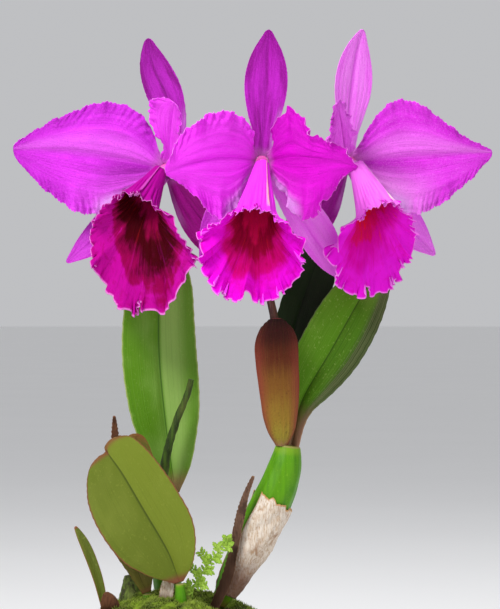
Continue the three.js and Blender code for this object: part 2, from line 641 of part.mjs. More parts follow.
/** The column lies in the lip's tube, from the receptacle to short of the tube's mouth. */
function column(bloom, spec, { axis, base }) {
  const start = inBloom(bloom, 0, TUBE_SEAT.up, RECEPTACLE.front + GAP);
  const length = COLUMN.share * spec.tube;
  const onAxis = [0.5, 1].map((part) => base.clone().addScaledVector(axis, part * length));
  const points = [start, base, ...onAxis].map((point) => point.toArray());
  return rod({ points, radii: COLUMN.radii, lengthwise: 5, sides: 8 });
}

/** A bloom's stalk and ovary, from the flower stem to the disc that its pieces grow from. */
function stalk(bloom, { bends, side, height }) {
  const joint = FLOWER_STEM.route[FLOWER_STEM.route.length - 1];
  const away = FLOWER_STEM.head + GAP;
  const { run, drop } = STALK_END;
  const end = [joint[0] + side[0] * away, joint[1] + side[1] * away, height];
  const before = [end[0] + side[0] * run, end[1] + side[1] * run, height + drop];
  const front = inBloom(bloom, 0, 0, RECEPTACLE.front).toArray();
  const back = inBloom(bloom, 0, 0, RECEPTACLE.back).toArray();
  return rod({ points: [front, back, ...bends, before, end], radii: STALK_RADII, lengthwise: 10, sides: 8 });
}

// ---------------------------------------------------------------- the right growth's crown

const CROWN = (() => {
  const { points } = BULBS.right;
  const ahead = directionAlong(points, 1);
  const lateral = ahead.clone().cross(new THREE.Vector3(0, -1, 0)).normalize();
  return { point: pointAlong(points, 1), ahead, lateral, back: ahead.clone().cross(lateral) };
})();

/** Point on the crown, lifted off it, as a list of numbers. */
function crownSeat([across, back], lift) {
  return CROWN.point.clone().addScaledVector(CROWN.lateral, across).addScaledVector(CROWN.back, back)
    .addScaledVector(CROWN.ahead, lift).toArray();
}

/** A leaf or bract, its midrib starting at its seat where it has one. */
function leaf({ seat, lift, points, facing, thickness, rows, columns, ...shape }) {
  const kind = seat in CROWN_SEATS ? 'crown' : seat ?? 'given';
  const [first, ...rest] = points;
  const [half] = shape.left;
  const mossUnder = () => [-half, 0, half].map((across) => mossMeshHeight(first[0] + across, first[1]));
  const seats = {
    crown: () => [crownSeat(CROWN_SEATS[seat], TILTED_BASE), ...points],
    moss: () => [[first[0], first[1], Math.max(...mossUnder()) + lift], ...rest],
    given: () => points,
  };
  return routedBlade({ points: seats[kind](), facing }, shape, thickness, rows, columns);
}

function flowerStem() {
  const points = [crownSeat(CROWN_SEATS.stem, TILTED_BASE), ...FLOWER_STEM.route];
  return rod({ points, radii: FLOWER_STEM.radii, lengthwise: 12, sides: 8 });
}

/** Grid round an axis. at(row, angle) gives a point's station, and its half-width and half-depth. */
function wrapped(points, rows, angles, at) {
  return evenly(rows, 0, 1).map((row) => angles.map((angle) => {
    const [mark, wide, deep] = at(row, angle);
    return rings(points, [wide, wide], [deep, deep], [mark], [angle])[0][0];
  }));
}

/** A flattened pocket round the flower stem, open at its rounded top and slit along its back. */
function spathe() {
  const points = [crownSeat(CROWN_SEATS.stem, SPATHE.foot), ...SPATHE.route];
  const angles = evenly(10, degToRad(-90 + SPATHE.slit), degToRad(270 - SPATHE.slit));
  return sheet(wrapped(points, 7, angles, (row, angle) => {
    const mark = row * (1 - SPATHE.rounding * Math.cos(angle) ** 4);
    return [mark, along(SPATHE.halfWidths, mark), along(SPATHE.halfDepths, mark)];
  }), PAPER);
}

/** A torn papery wrap round the lower half of the right pseudobulb, open along one side. */
function paperySheath() {
  const { from, to, tear, highest, wrinkle, opensAt } = SHEATH;
  const clearance = GAP + PAPER.centre / 2;
  const angles = evenly(12, degToRad(opensAt[0]), degToRad(opensAt[1]));
  return sheet(wrapped(BULBS.right.points, 7, angles, (row, angle) => {
    const top = to + tear * Math.cos(angle - degToRad(highest)) + tear * Math.sin(5 * angle) ** 2;
    const mark = from + (top - from) * row;
    const crumple = wrinkle * (1 + Math.sin(5 * angle + 14 * row)) * (0.5 + 0.5 * row);
    const radius = along(BULBS.right.radii, mark) + clearance + crumple;
    return [mark, radius, radius];
  }), PAPER);
}

// ---------------------------------------------------------------- rhizome, moss, weed, medium, pot

function joined(geometries) {
  return toGeometry(wasm.Manifold.union(geometries.map(toSolid)));
}

/** The creeping stem that the growths stand on, with two roots. grow makes the room that it needs. */
function rhizome(grow = 0) {
  const { radius, rootRadius, runs, roots } = RHIZOME;
  const stems = runs.map((points) => rod({ points, radii: [radius, radius], grow, lengthwise: 5, sides: 8 }));
  const thin = [rootRadius, rootRadius, 0.7 * rootRadius];
  const strands = roots.map((points) => rod({ points, radii: thin, grow, lengthwise: 6, sides: 6 }));
  return joined([...stems, ...strands]);
}

/** Height of the moss's surface: a low mound with a hollow where the rhizome shows, and bumps. */
function mossHeight(x, y) {
  const { radius, edge, crown, bump } = MOSS;
  const { x: hollowX, y: hollowY, depth, width } = MOSS_HOLLOW;
  const mound = Math.max(1 - (x * x + y * y) / (radius * radius), 0) ** 0.8;
  const hollow = depth * Math.exp(-((x - hollowX) ** 2 + (y - hollowY) ** 2) / width ** 2);
  const acrossX = Math.sin(0.33 * x + 1.3 * Math.sin(0.21 * y));
  const acrossY = Math.sin(0.37 * y + 1.1 * Math.sin(0.19 * x + 2));
  const lumps = Math.sin(0.47 * x + 0.5 + Math.sin(0.3 * y)) * Math.sin(0.43 * y + 1.7);
  const rough = (0.65 * acrossX * acrossY + 0.35 * lumps) * bump * Math.min(1, 3 * mound);
  return edge + (crown - edge) * mound - hollow + rough;
}

/** Point of the moss's surface mesh, on a ring and a spoke. */
function mossPoint(ring, spoke) {
  const radius = MOSS.radius * Math.sin((Math.PI * ring) / (2 * MOSS.rings));
  const angle = (2 * Math.PI * spoke) / MOSS.spokes;
  const [x, y] = [radius * Math.cos(angle), radius * Math.sin(angle)];
  return new THREE.Vector3(x, y, mossHeight(x, y));
}

/** Height of the moss's mesh between its points, for the pieces that stand on it. */
function mossMeshHeight(x, y) {
  const ring = (2 * MOSS.rings * Math.asin(Math.hypot(x, y) / MOSS.radius)) / Math.PI;
  const spoke = ((Math.atan2(y, x) / (2 * Math.PI) + 1) % 1) * MOSS.spokes;
  const [i, j] = [Math.floor(ring), Math.floor(spoke)];
  const across = (row) => THREE.MathUtils.lerp(mossPoint(row, j).z, mossPoint(row, j + 1).z, spoke - j);
  return THREE.MathUtils.lerp(across(i), across(i + 1), ring - i);
}

/** The moss without the room that the rhizome and the bulbs take. */
function moss() {
  const { rings: ringsOut, spokes } = MOSS;
  const floor = MEDIUM_TOP + GAP;
  const points = [mossPoint(0, 0)];
  for (let i = 1; i <= ringsOut; i += 1) {
    for (let j = 0; j < spokes; j += 1) points.push(mossPoint(i, j));
  }
  const rim = points.length - spokes;
  points.slice(rim).forEach(({ x, y }) => points.push(new THREE.Vector3(x, y, floor)));
  points.push(new THREE.Vector3(0, 0, floor));
  const under = points.length - 1;
  const triangles = [];
  for (let j = 0; j < spokes; j += 1) {
    const k = (j + 1) % spokes;
    triangles.push([0, 1 + j, 1 + k]);
    for (let i = 0; i < ringsOut; i += 1) {
      const row = 1 + i * spokes;
      triangles.push([row + j, row + spokes + j, row + spokes + k], [row + j, row + spokes + k, row + k]);
    }
    triangles.push([under, under - spokes + k, under - spokes + j]);
  }
  const bulbRooms = Object.values(BULBS).map((bulb) => bulbRod(bulb, GAP));
  const rooms = wasm.Manifold.union([rhizome(GAP), ...bulbRooms].map(toSolid));
  return toGeometry(toSolid(geometryFrom(points, triangles)).subtract(rooms));
}

/** One flat leaflet, pointing away from the stem. */
function leaflet(at, towards) {
  const geometry = new THREE.SphereGeometry(1, 6, 2);
  const [long, wide, thick] = WEED.leaflet;
  geometry.scale(long, thick, wide);
  const turn = new THREE.Quaternion().setFromUnitVectors(new THREE.Vector3(1, 0, 0), towards);
  geometry.applyQuaternion(turn);
  const middle = at.clone().addScaledVector(towards, 0.75 * long);
  return geometry.translate(middle.x, middle.y, middle.z);
}

/** A small creeping weed: a thin stem and its sprays with pairs of leaflets, all in one solid. */
function weed() {
  const { stem: [foot, ...rest], stemRadius, sprays, pairs, firstPair, slant } = WEED;
  const stem = [[foot[0], foot[1], mossMeshHeight(foot[0], foot[1]) + GAP], ...rest];
  const twig = (points, lengthwise) => rod({ points, radii: [stemRadius, stemRadius], lengthwise, sides: 5 });
  const leafletOn = (points, mark, k, hand) => {
    const ahead = directionAlong(points, mark);
    const out = ahead.clone().cross(new THREE.Vector3(0, -1, 0)).normalize();
    const towards = out.multiplyScalar(hand).addScaledVector(ahead, slant + 0.2 * (k % 2));
    towards.y += 0.35 * Math.sin(2.1 * k + hand);
    return leaflet(pointAlong(points, mark), towards.normalize());
  };
  const pairsOn = (points, count) => evenly(count - 1, firstPair, 1).flatMap((mark, k) => {
    return [-1, 1].map((hand) => leafletOn(points, mark, k, hand));
  });
  const sprayPieces = sprays.flatMap((points) => [twig(points, 2), ...pairsOn(points, 2)]);
  return joined([twig(stem, 7), ...pairsOn(stem, pairs), ...sprayPieces]);
}

/** Solid turned round Z from a profile of (radius, height) points. */
function turned(profile, sides) {
  const outline = profile.map(([radius, height]) => new THREE.Vector2(radius, height));
  return new THREE.LatheGeometry(outline, sides).rotateX(Math.PI / 2);
}

function potInnerRadius(height) {
  const { foot, rim, height: top, wall } = POT;
  return foot - wall + ((rim - foot) * height) / top;
}

/** A tapered clay pot with a thicker band at its rim and drain holes round the middle of its floor. */
function pot() {
  const { foot, rim, height, floor, band, bandStep, rounding, holes, holeRadius, holeRing } = POT;
  const bandFoot = height - band;
  const outer = foot + ((rim - foot) * bandFoot) / height - bandStep;
  const mouth = potInnerRadius(height);
  const profile = [
    [0, 0], [foot - rounding, 0], [foot, rounding], [outer, bandFoot], [rim - rounding, bandFoot + rounding],
    [rim, height - rounding], [rim - rounding, height], [mouth + rounding / 2, height],
    [mouth, height - rounding / 2], [potInnerRadius(floor), floor], [0, floor],
  ];
  const body = toSolid(turned(profile, 32));
  const drains = Array.from({ length: holes }, (_, k) => {
    const angle = (2 * Math.PI * (k + 0.5)) / holes;
    const drill = new THREE.CylinderGeometry(holeRadius, holeRadius, 3 * floor, 12).rotateX(Math.PI / 2);
    return toSolid(drill.translate(holeRing * Math.cos(angle), holeRing * Math.sin(angle), 0));
  });
  return toGeometry(body.subtract(wasm.Manifold.union(drains)));
}

function medium() {
  const bottom = POT.floor + GAP;
  const radiusAt = (height) => potInnerRadius(height) - GAP;
  const corners = [bottom, MEDIUM_TOP].map((height) => [radiusAt(height), height]);
  return turned([[0, bottom], ...corners, [0, MEDIUM_TOP]], 32);
}

// ---------------------------------------------------------------- the whole plant

const paint = (color, roughness) => new THREE.MeshStandardMaterial({ color, roughness, metalness: 0 });
const PAINT = {
  petal: paint(0xe64af0, 0.55),
  sepal: paint(0xd24cdc, 0.55),
  lip: paint(0xa8107a, 0.5),
  column: paint(0xf0c8e8, 0.5),
  stalk: paint(0x8a5a50, 0.6),
  stem: paint(0x4a1a18, 0.6),
  spathe: paint(0x60400c, 0.6),
  leaf: paint(0x668c27, 0.45),
  darkLeaf: paint(0x2c4412, 0.45),
  oliveLeaf: paint(0x7a8430, 0.5),
  bulb: paint(0x619d01, 0.45),
  mossyBulb: paint(0x56702a, 0.8),
  paper: paint(0xcfc0aa, 0.85),
  dryBrown: paint(0x72582e, 0.85),
  rhizome: paint(0x6b4636, 0.85),
  moss: paint(0x576917, 0.95),
  weed: paint(0x94b93d, 0.6),
  medium: paint(0x3f2c1e, 0.95),
  clay: paint(0xb5673f, 0.85),
};

function group(pieces) {
  const made = new THREE.Group();
  pieces.forEach(([name, geometry, material]) => {
    const mesh = new THREE.Mesh(geometry, material);
    mesh.name = name;
    made.add(mesh);
  });
  return made;
}

function bloomPieces(side) {
  const bloom = BLOOMS[side];
  const opened = lip(bloom, LIPS[side]);
  const tepals = Object.entries(TEPALS[side]).map(([name, spec]) => {
    const colour = name.startsWith('petal') ? PAINT.petal : PAINT.sepal;
    return [`${side}_bloom_${name}`, tepal(bloom, name, spec), colour];
  });
  return [
    ...tepals,
    [`${side}_bloom_lip`, opened.geometry, PAINT.lip],
    [`${side}_bloom_column`, column(bloom, LIPS[side], opened), PAINT.column],
    [`${side}_bloom_stalk`, stalk(bloom, STALKS[side]), PAINT.stalk],
  ];
}

const LEAF_PAINT = {
  left_leaf: PAINT.leaf,
  right_leaf: PAINT.leaf,
  back_leaf: PAINT.darkLeaf,
  front_leaf: PAINT.oliveLeaf,
  second_leaf: PAINT.oliveLeaf,
  dry_sheath_strip: PAINT.dryBrown,
  brown_leaf_tip: PAINT.dryBrown,
  young_leaf: PAINT.leaf,
  brown_scale: PAINT.dryBrown,
  left_papery_bract: PAINT.paper,
};

const plant = new THREE.Group();
Object.keys(BLOOMS).forEach((side) => plant.add(group(bloomPieces(side))));
plant.add(group([
  ['flower_stem', flowerStem(), PAINT.stem],
  ['spathe', spathe(), PAINT.spathe],
]));
plant.add(group(Object.entries(LEAVES).map(([name, spec]) => [name, leaf(spec), LEAF_PAINT[name]])));
plant.add(group(Object.entries(BULBS).map(([name, bulb]) => {
  return [`${name}_pseudobulb`, bulbRod(bulb), name === 'mossy' ? PAINT.mossyBulb : PAINT.bulb];
})));
plant.add(group([
  ['papery_sheath', paperySheath(), PAINT.paper],
  ['old_flower_stem', rod(OLD_STEM), PAINT.darkLeaf],
]));
plant.add(group([
  ['rhizome', rhizome(), PAINT.rhizome],
  ['moss', moss(), PAINT.moss],
  ['weed', weed(), PAINT.weed],
  ['growing_medium', medium(), PAINT.medium],
  ['pot', pot(), PAINT.clay],
]));

export default plant;
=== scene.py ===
import itertools
import math

import bmesh
import bpy
import numpy as np
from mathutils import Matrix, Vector


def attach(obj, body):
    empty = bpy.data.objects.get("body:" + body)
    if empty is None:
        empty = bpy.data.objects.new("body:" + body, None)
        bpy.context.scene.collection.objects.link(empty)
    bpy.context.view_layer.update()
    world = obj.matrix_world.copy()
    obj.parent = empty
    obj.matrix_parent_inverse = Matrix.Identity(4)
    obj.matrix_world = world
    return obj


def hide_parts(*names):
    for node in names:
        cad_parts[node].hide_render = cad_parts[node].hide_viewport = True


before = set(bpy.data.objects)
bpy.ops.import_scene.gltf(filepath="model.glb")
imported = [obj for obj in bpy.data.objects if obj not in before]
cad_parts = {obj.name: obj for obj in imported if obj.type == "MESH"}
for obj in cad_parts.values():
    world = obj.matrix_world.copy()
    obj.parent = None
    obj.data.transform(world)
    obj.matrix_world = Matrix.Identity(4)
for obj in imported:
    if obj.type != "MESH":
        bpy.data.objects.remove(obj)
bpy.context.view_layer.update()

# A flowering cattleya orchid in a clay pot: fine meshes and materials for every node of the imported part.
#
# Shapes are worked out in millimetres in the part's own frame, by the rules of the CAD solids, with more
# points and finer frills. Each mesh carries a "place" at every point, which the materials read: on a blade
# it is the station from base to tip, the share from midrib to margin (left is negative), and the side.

MM = 0.001
SEED = 11

# ---------------------------------------------------------------- driving dimensions, as the CAD has them

GAP = 0.3
MEDIUM_TOP = 90
POT = dict(foot=41, rim=61.5, height=94, wall=5, floor=8, band=22, step=2, rounding=1.5, hole=5, hole_ring=22)
MOSS = dict(radius=53, edge=93, crown=113, bump=1.6)
MOSS_HOLLOW = dict(x=24, y=-7, depth=10, width=15)

RECEPTACLE = dict(radius=3.4, front=1.5, back=-4.5)
SEPAL_LAYER = -3
TUBE_SEAT = dict(forward=5.4, up=-1.6)
TILTED_BASE = 0.9
TEPAL_CENTRE = 1.1

BLOOMS = {
    "left": dict(centre=(-7.7, 0, 344.5), yaw=-35, pitch=6),
    "middle": dict(centre=(44.9, -35, 346.9), yaw=0, pitch=0),
    "right": dict(centre=(93.5, 0, 348.3), yaw=35, pitch=0),
}
DORSAL = (3, 5, 8.5, 11, 11.3, 9, 4.5)
SEPAL = (1.8, 7, 10.5, 12, 11.3, 8.5, 4)
DORSAL_SEPAL = dict(upper=DORSAL, lower=DORSAL)
SIDE_SEPAL = dict(upper=SEPAL, lower=SEPAL, cup=(6, 10, 4))
TEPALS = {
    "left": {
        "dorsal_sepal": dict(clock=78, length=76.5, upper=(3, 5, 8.5, 10, 10, 8.5, 5.5),
                             lower=(3, 5, 8.5, 10.5, 10.5, 9, 6), curl=(10, 0, -5),
                             bow=(40, 95, 60, -60, -60), twist=(0, 20, 10), ruffle=0.6, waves=2, phase=0.3),
        "sepal_left": dict(SIDE_SEPAL, upper=(1.8, 7, 9.5, 10, 9, 7, 3.5), clock=219, sweep=5, length=78.5,
                           phase=1.1),
        "sepal_right": dict(SIDE_SEPAL, clock=300, sweep=-15, length=72, curl=(-30, -60, -80), phase=2.3),
        "petal_left": dict(clock=165, sweep=35, length=83.5, upper=(3, 22.5, 29, 27, 20, 13.5, 8),
                           lower=(3, 19, 31, 33.5, 29.5, 23, 16), curl=(0, -6, -12), bow=(-10, -20, -30),
                           cup=(0, -6, -10), ruffle=2, waves=4, phase=0.4),
        "petal_right": dict(clock=64, sweep=38, length=46, upper=(3, 4, 7, 15, 18, 16, 12),
                            lower=(3, 14, 18, 15, 9, 7, 6), bow=(-20, -20, 0), ruffle=2, waves=2.5,
                            phase=1.4),
    },
    "middle": {
        "dorsal_sepal": dict(DORSAL_SEPAL, clock=87, length=68.6, curl=(5, 0, -5), cup=(8, 14, 8)),
        "sepal_left": dict(SIDE_SEPAL, clock=238, sweep=-8, length=60, phase=0.6),
        "sepal_right": dict(SIDE_SEPAL, lower=(1.8, 4, 6, 7.5, 8, 7, 4), clock=305.5, sweep=-6, length=80,
                            curl=(-15, -35, -50), phase=1.9),
        "petal_left": dict(clock=170, sweep=52, length=62, upper=(3, 18, 24, 24.5, 22, 17, 9),
                           lower=(3, 20, 31, 31, 25, 15, 7), curl=(-15, -30, -50), bow=(-25, -35, -40),
                           cup=(0, 0, -6), ruffle=2, waves=4, phase=2.2),
        "petal_right": dict(clock=4, sweep=52, length=64.5, upper=(3, 21, 27, 15, 10, 9, 3),
                            lower=(3, 17, 29, 32, 26, 14, 4), curl=(-10, -20, -30), bow=(-5, -20, -40),
                            ruffle=3, waves=5, phase=3.2),
    },
    "right": {
        "dorsal_sepal": dict(clock=87, length=72.6, upper=(3, 5.5, 9, 12, 12.2, 9.5, 5),
                             lower=(3, 5.5, 9, 12, 12.2, 9.5, 5), curl=(5, 0, -5), bow=(0, -15, -45),
                             cup=(8, 12, 6)),
        "sepal_left": dict(SIDE_SEPAL, clock=231, sweep=3, length=62, phase=2.9),
        "sepal_right": dict(SIDE_SEPAL, clock=319, sweep=5, length=73.6, phase=0.9),
        "petal_left": dict(clock=134, sweep=36, length=48.5, upper=(2.6, 8, 10, 10, 9, 8, 7),
                           lower=(2.6, 14, 16, 10, 7, 6, 6), cup=(0, -40, -50), ruffle=2, waves=4,
                           phase=5.4),
        "petal_right": dict(clock=12, sweep=35, length=76.6, upper=(3, 20, 30, 27, 17, 8.5, 4.5),
                            lower=(3, 21, 31, 32, 27, 19, 10), curl=(0, -6, -12), bow=(-10, -14, -5),
                            cup=(0, -6, -8), ruffle=2, waves=5, phase=4.4),
    },
}
LIPS = {
    "left": dict(pitch=52, lean=1, tube=28, reach=53, side=4, narrowing=1.7, below=40, beside=70, above=40,
                 phase=0.5),
    "middle": dict(pitch=56, lean=-6.5, tube=36, reach=40, side=4, narrowing=1.6, below=38, beside=73,
                   above=30, phase=1.7),
    "right": dict(pitch=56, lean=1, tube=32, reach=41, side=3, narrowing=1.6, below=38, beside=70, above=30,
                  phase=3.1),
}
TUBE_RADIUS = dict(start=3.5, mouth=11)
TUBE_OPENS = dict(before=6, past=12, later_from=8, later_to=34, later_share=0.14)
FRILL = dict(height=3, start=0.62, sway=0.8, folds=11, ripple=0.25, notch=7, notch_width=0.08)
COLUMN = dict(radii=(2, 2.1, 2.6, 3, 2.2), share=0.75)

BULBS = {
    "right": dict(points=((21, 1, 105.5), (32, 1, 126), (46.5, 1, 154), (56.5, 0.5, 177), (59.5, 0, 193)),
                  radii=(4, 7.6, 10.8, 10.7, 9.2, 6.6)),
    "left": dict(points=((-7, 25, 100.6), (-8, 27, 122), (-6, 26, 145), (-3.4, 24, 164)),
                 radii=(5, 8, 7, 4, 2.8)),
    "front": dict(points=((1, -19, 100.6), (1, -20, 109), (0.5, -21, 119)), radii=(3.5, 3.2, 2.4)),
    "second": dict(points=((-17, -8, 100.6), (-17, -8, 106), (-17.5, -8, 112)), radii=(3.2, 3, 2.4)),
    "mossy": dict(points=((-27, 5, 100.6), (-27, 5, 110), (-28, 5, 121)), radii=(6, 7, 5.5, 2.5)),
}
RHIZOME = dict(
    radius=3.1, root_radius=1.3,
    runs=(
        ((-30, 5, 96.6), (-8, 3, 97.1), (12, 1, 99), (27, 0, 100.4)),
        ((-8, 3, 97), (-7, 14, 97), (-7, 28, 97)),
        ((2, 3, 97.8), (1, -8, 97.2), (1, -22, 97)),
        ((-17, 4, 97), (-17, -3, 97), (-17, -11, 97)),
    ),
    roots=(
        ((26, 0, 100.5), (23, -13, 100.5), (13, -23, 101), (7, -33, 98)),
        ((26, 0, 100.5), (32, -9, 102), (33, -22, 99)),
    ),
)
OLD_STEM = dict(
    points=((-7, 19.3, 150), (-10, 14, 168), (-8, 10, 186), (-3, 8, 204), (3.5, 7, 220), (6, 6, 229)),
    radii=(2.4, 2.6, 2.4, 2, 1.8, 1.4),
)
CROWN_SEATS = dict(stem=(-3.6, -2.8), right_leaf=(2, 2.2), back_leaf=(-1, 5.2))
FLOWER_STEM = dict(
    route=((55.3, -5, 207), (54, -8, 229), (53, -8, 248), (51.5, -8, 264), (48, -3, 281), (45.5, 6, 298),
           (45.5, 6.5, 312)),
    radii=(2.3, 2.1, 2.1, 2.1, 2.1, 2.1, 3.2, 3.2), head=3.2,
)
STALKS = {
    "left": dict(bends=((4, 15, 338), (22, 13, 320)), side=(-1, 0, 0), height=306),
    "middle": dict(bends=((45.2, -16, 344), (45.5, -7, 330)), side=(0, -1, 0), height=309),
    "right": dict(bends=((82, 15, 341), (64, 13, 322)), side=(1, 0, 0), height=303),
}
STALK_RADII = (3.3, 3.3, 3, 2.6, 2.2, 2)
STALK_END = dict(run=6, drop=0.4)
SPATHE = dict(
    route=((55.3, -5, 207), (54, -8, 229), (53, -8, 248), (53, -8, 263)),
    half_widths=(3.1, 7.6, 10.2, 11.3, 11, 5), half_depths=(3.2, 4.6, 4.8, 4.8, 4.6, 3.9), slit=8, foot=1.6,
    rounding=0.11,
)
SHEATH = dict(start=0.1, end=0.585, tear=0.015, highest=140, wrinkle=0.5, opens_at=(205, 488), clearance=0.7)
LEAVES = {
    "left_leaf": dict(
        points=((-3.4, 24, 165.2), (-9, 24, 205), (-12.5, 23, 245), (-12, 20, 283), (-10, 15, 308)),
        facing=(0.1, -1, 0), left=(2, 12, 18.5, 20.5, 21, 20.5, 19.5, 17, 8),
        right=(2, 12.5, 19, 21, 21, 20.5, 20, 17, 8), fold=(25, 10, 6), tip=5),
    "right_leaf": dict(
        seat="right_leaf", points=((67, 6, 217), (84, 13, 246), (102, 22, 277), (116, 32, 298)),
        facing=(-0.2, -1, 0.1), left=(3.4, 9, 15, 18, 18, 14, 7), right=(4.6, 6.5, 14, 18, 18, 14, 7),
        fold=(30, 10, 6), tip=5),
    "back_leaf": dict(
        seat="back_leaf", points=((58, 17, 229), (65, 26, 262), (76, 31, 295), (83, 33, 312)),
        facing=(0, -1, 0), left=(2, 7, 10, 11.5, 11.5, 10.5, 6), right=(2, 8, 12, 14, 14, 12, 7),
        fold=(30, 10, 6), tip=5),
    "front_leaf": dict(
        points=((0.2, -21.3, 120), (-6, -24, 137), (-19, -28, 160), (-30, -30, 179), (-38.5, -31, 191)),
        facing=(-0.2, -1, 0.3), left=(2, 16, 24, 26.5, 25.5, 22, 18),
        right=(2, 12, 19.5, 20.5, 19.5, 18, 16.5), fold=(10, 0, 0), cup=(0, -10, -10), tip=6,
        blunt=(0.33, 0.8), lobes=(0.5, 4.5)),
    "second_leaf": dict(
        points=((-18, -8, 113), (-24, -10, 130), (-28, -11, 163), (-23, -10, 200)),
        facing=(0, -1, 0), left=(2, 4.5, 13, 17, 12), right=(2, 9, 16.5, 20, 12), cup=(0, -8, 0), tip=4),
    "dry_sheath_strip": dict(
        seat="moss",
        points=((17.5, -7.5, 108), (27.5, -10.5, 126), (31, -11.5, 143), (34.5, -12, 160), (40.5, -12, 177)),
        facing=(-0.5, -1, 0), both=(2.2, 2.6, 2.4, 2.1, 1.4),
        cup=(20, 30, 40), ruffle=0.7, waves=2, phase=1),
    "brown_leaf_tip": dict(
        seat="moss", points=((-22, 16, 110), (-30, 12, 150), (-35, 8, 185), (-36.5, 6, 209)),
        facing=(0, -1, 0), both=(2, 3, 3, 2.5, 1), fold=(40, 40, 20)),
    "young_leaf": dict(
        seat="moss", points=((-41, -6, 104), (-45, -6, 120), (-51, -7, 137), (-57, -8, 149)),
        facing=(0.3, -1, 0), both=(1.5, 2.5, 2.8, 2.4, 1), fold=(40, 30, 10)),
    "brown_scale": dict(
        seat="moss", points=((-37, -13, 103), (-38, -15, 108), (-40, -15, 114)),
        facing=(0, -1, 0.2), both=(4, 5, 4, 1.5), cup=(30, 30, 10)),
    "left_papery_bract": dict(
        seat="moss", points=((-7.5, -16.5, 108), (-6.7, -16.5, 115), (-5.2, -15.5, 124)),
        facing=(0, -1, 0), both=(3, 3.4, 3.2, 1.5), cup=(30, 30, 10)),
}
WEED = dict(
    stem=((6.5, -14, 109), (8, -15, 117), (12, -17, 124), (17, -18, 131), (23, -18, 138), (27, -18, 142)),
    sprays=(((7.2, -14.5, 113), (4.5, -15, 115.5)), ((8, -15, 117), (14, -18, 118)),
            ((12, -17, 124), (6, -18, 128)), ((17, -18, 131), (12, -19, 136))),
    radius=0.45,
)
# ---------------------------------------------------------------- numbers along lines, and noise


def unit(vectors):
    return vectors / np.linalg.norm(vectors, axis=-1, keepdims=True)


def along(values, x):
    """Values at stations x (0 to 1) of a smooth curve through evenly spaced numbers or points."""
    p = np.asarray(values, float)
    last = len(p) - 1
    place = np.clip(np.asarray(x, float), 0, 1) * last
    i = np.minimum(place.astype(int), last - 1)
    f = place - i
    if p.ndim > 1:
        f = f[..., None]
    a, b, c, d = p[np.maximum(i - 1, 0)], p[i], p[i + 1], p[np.minimum(i + 2, last)]
    return 0.5 * (2 * b + (c - a) * f + (2 * a - 5 * b + 4 * c - d) * f**2 + (3 * b - a - 3 * c + d) * f**3)


def heading(points, x):
    step = 1e-3
    return unit(along(points, np.minimum(x + step, 1)) - along(points, np.maximum(x - step, 0)))


def smooth(low, high, x):
    t = np.clip((x - low) / (high - low), 0, 1)
    return t * t * (3 - 2 * t)


def folds(x, phase):
    """Two waves whose lengths don't match, within -1 and 1.1."""
    return (np.sin(2 * np.pi * x + phase) + 0.45 * np.sin(2 * np.pi * 1.83 * x + 2.1 * phase + 1)) / 1.3


def stations(count, packing):
    even = np.linspace(0, 1, count + 1)
    return (1 - packing) * even + packing * np.sin(np.pi / 2 * even)


def noise(points, lump, seed=0):
    """Smooth noise from -1 to 1 at points in mm, with lumps of that size in mm."""
    place = np.asarray(points, float) / lump + 31.7
    cell = np.floor(place).astype(np.int64)
    f = place - cell
    f = f * f * (3 - 2 * f)
    total = np.zeros(place.shape[:-1])
    for corner in itertools.product((0, 1), repeat=3):
        x, y, z = np.moveaxis(cell + corner, -1, 0)
        mixed = (x * 73856093) ^ (y * 19349663) ^ (z * 83492791) ^ (seed * 2654435761)
        mixed = ((mixed ^ (mixed >> 13)) * 1274126177) & 0xFFFFFFFF
        value = ((mixed ^ (mixed >> 15)) & 0xFFFF) / 32767.5 - 1
        total += value * np.prod(np.where(corner, f, 1 - f), axis=-1)
    return total


def turned(vectors, axis, angle):
    c, s = math.cos(angle), math.sin(angle)
    along_axis = axis * np.sum(vectors * np.array(axis), -1, keepdims=True)
    return vectors * c + np.cross(axis, vectors) * s + along_axis * (1 - c)


def stacked(x, y, z):
    return np.stack(np.broadcast_arrays(x, y, z), -1)


def level_point(radius, angle, height=0.0):
    """Points at a radius and angle round Z."""
    return stacked(radius * np.cos(angle), radius * np.sin(angle), height)


# ---------------------------------------------------------------- meshes and pieces


def mesh_from(name, points, faces, place=None):
    """A smooth mesh in metres from points in mm, with a place at every point."""
    mesh = bpy.data.meshes.new(name)
    mesh.from_pydata((np.asarray(points) * MM).tolist(), [], [list(face) for face in faces])
    mesh.polygons.foreach_set("use_smooth", np.ones(len(mesh.polygons), bool))
    place = np.zeros((len(points), 3)) if place is None else place
    values = mesh.attributes.new("place", "FLOAT_VECTOR", "POINT")
    values.data.foreach_set("vector", np.asarray(place, np.float32).ravel())
    mesh.update()
    return mesh


def linked(name, data):
    """An object in the scene that shows a mesh, lamp or camera."""
    thing = bpy.data.objects.new(name, data)
    bpy.context.scene.collection.objects.link(thing)
    return thing


def add_piece(node, mesh, material):
    """Shows a mesh for a CAD node."""
    piece = linked(f"fine_{node}", mesh)
    mesh.materials.append(material)
    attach(piece, "root")
    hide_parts(node)
    return piece


def grid_quads(rows, columns, closed=False):
    """Quads of a grid of points numbered row by row. A closed one joins its last column to its first."""
    i, j = np.meshgrid(np.arange(rows - 1), np.arange(columns - (0 if closed else 1)), indexing="ij")
    k = (j + 1) % columns
    corners = (i * columns + j, (i + 1) * columns + j, (i + 1) * columns + k, i * columns + k)
    return np.stack(corners, -1).reshape(-1, 4)


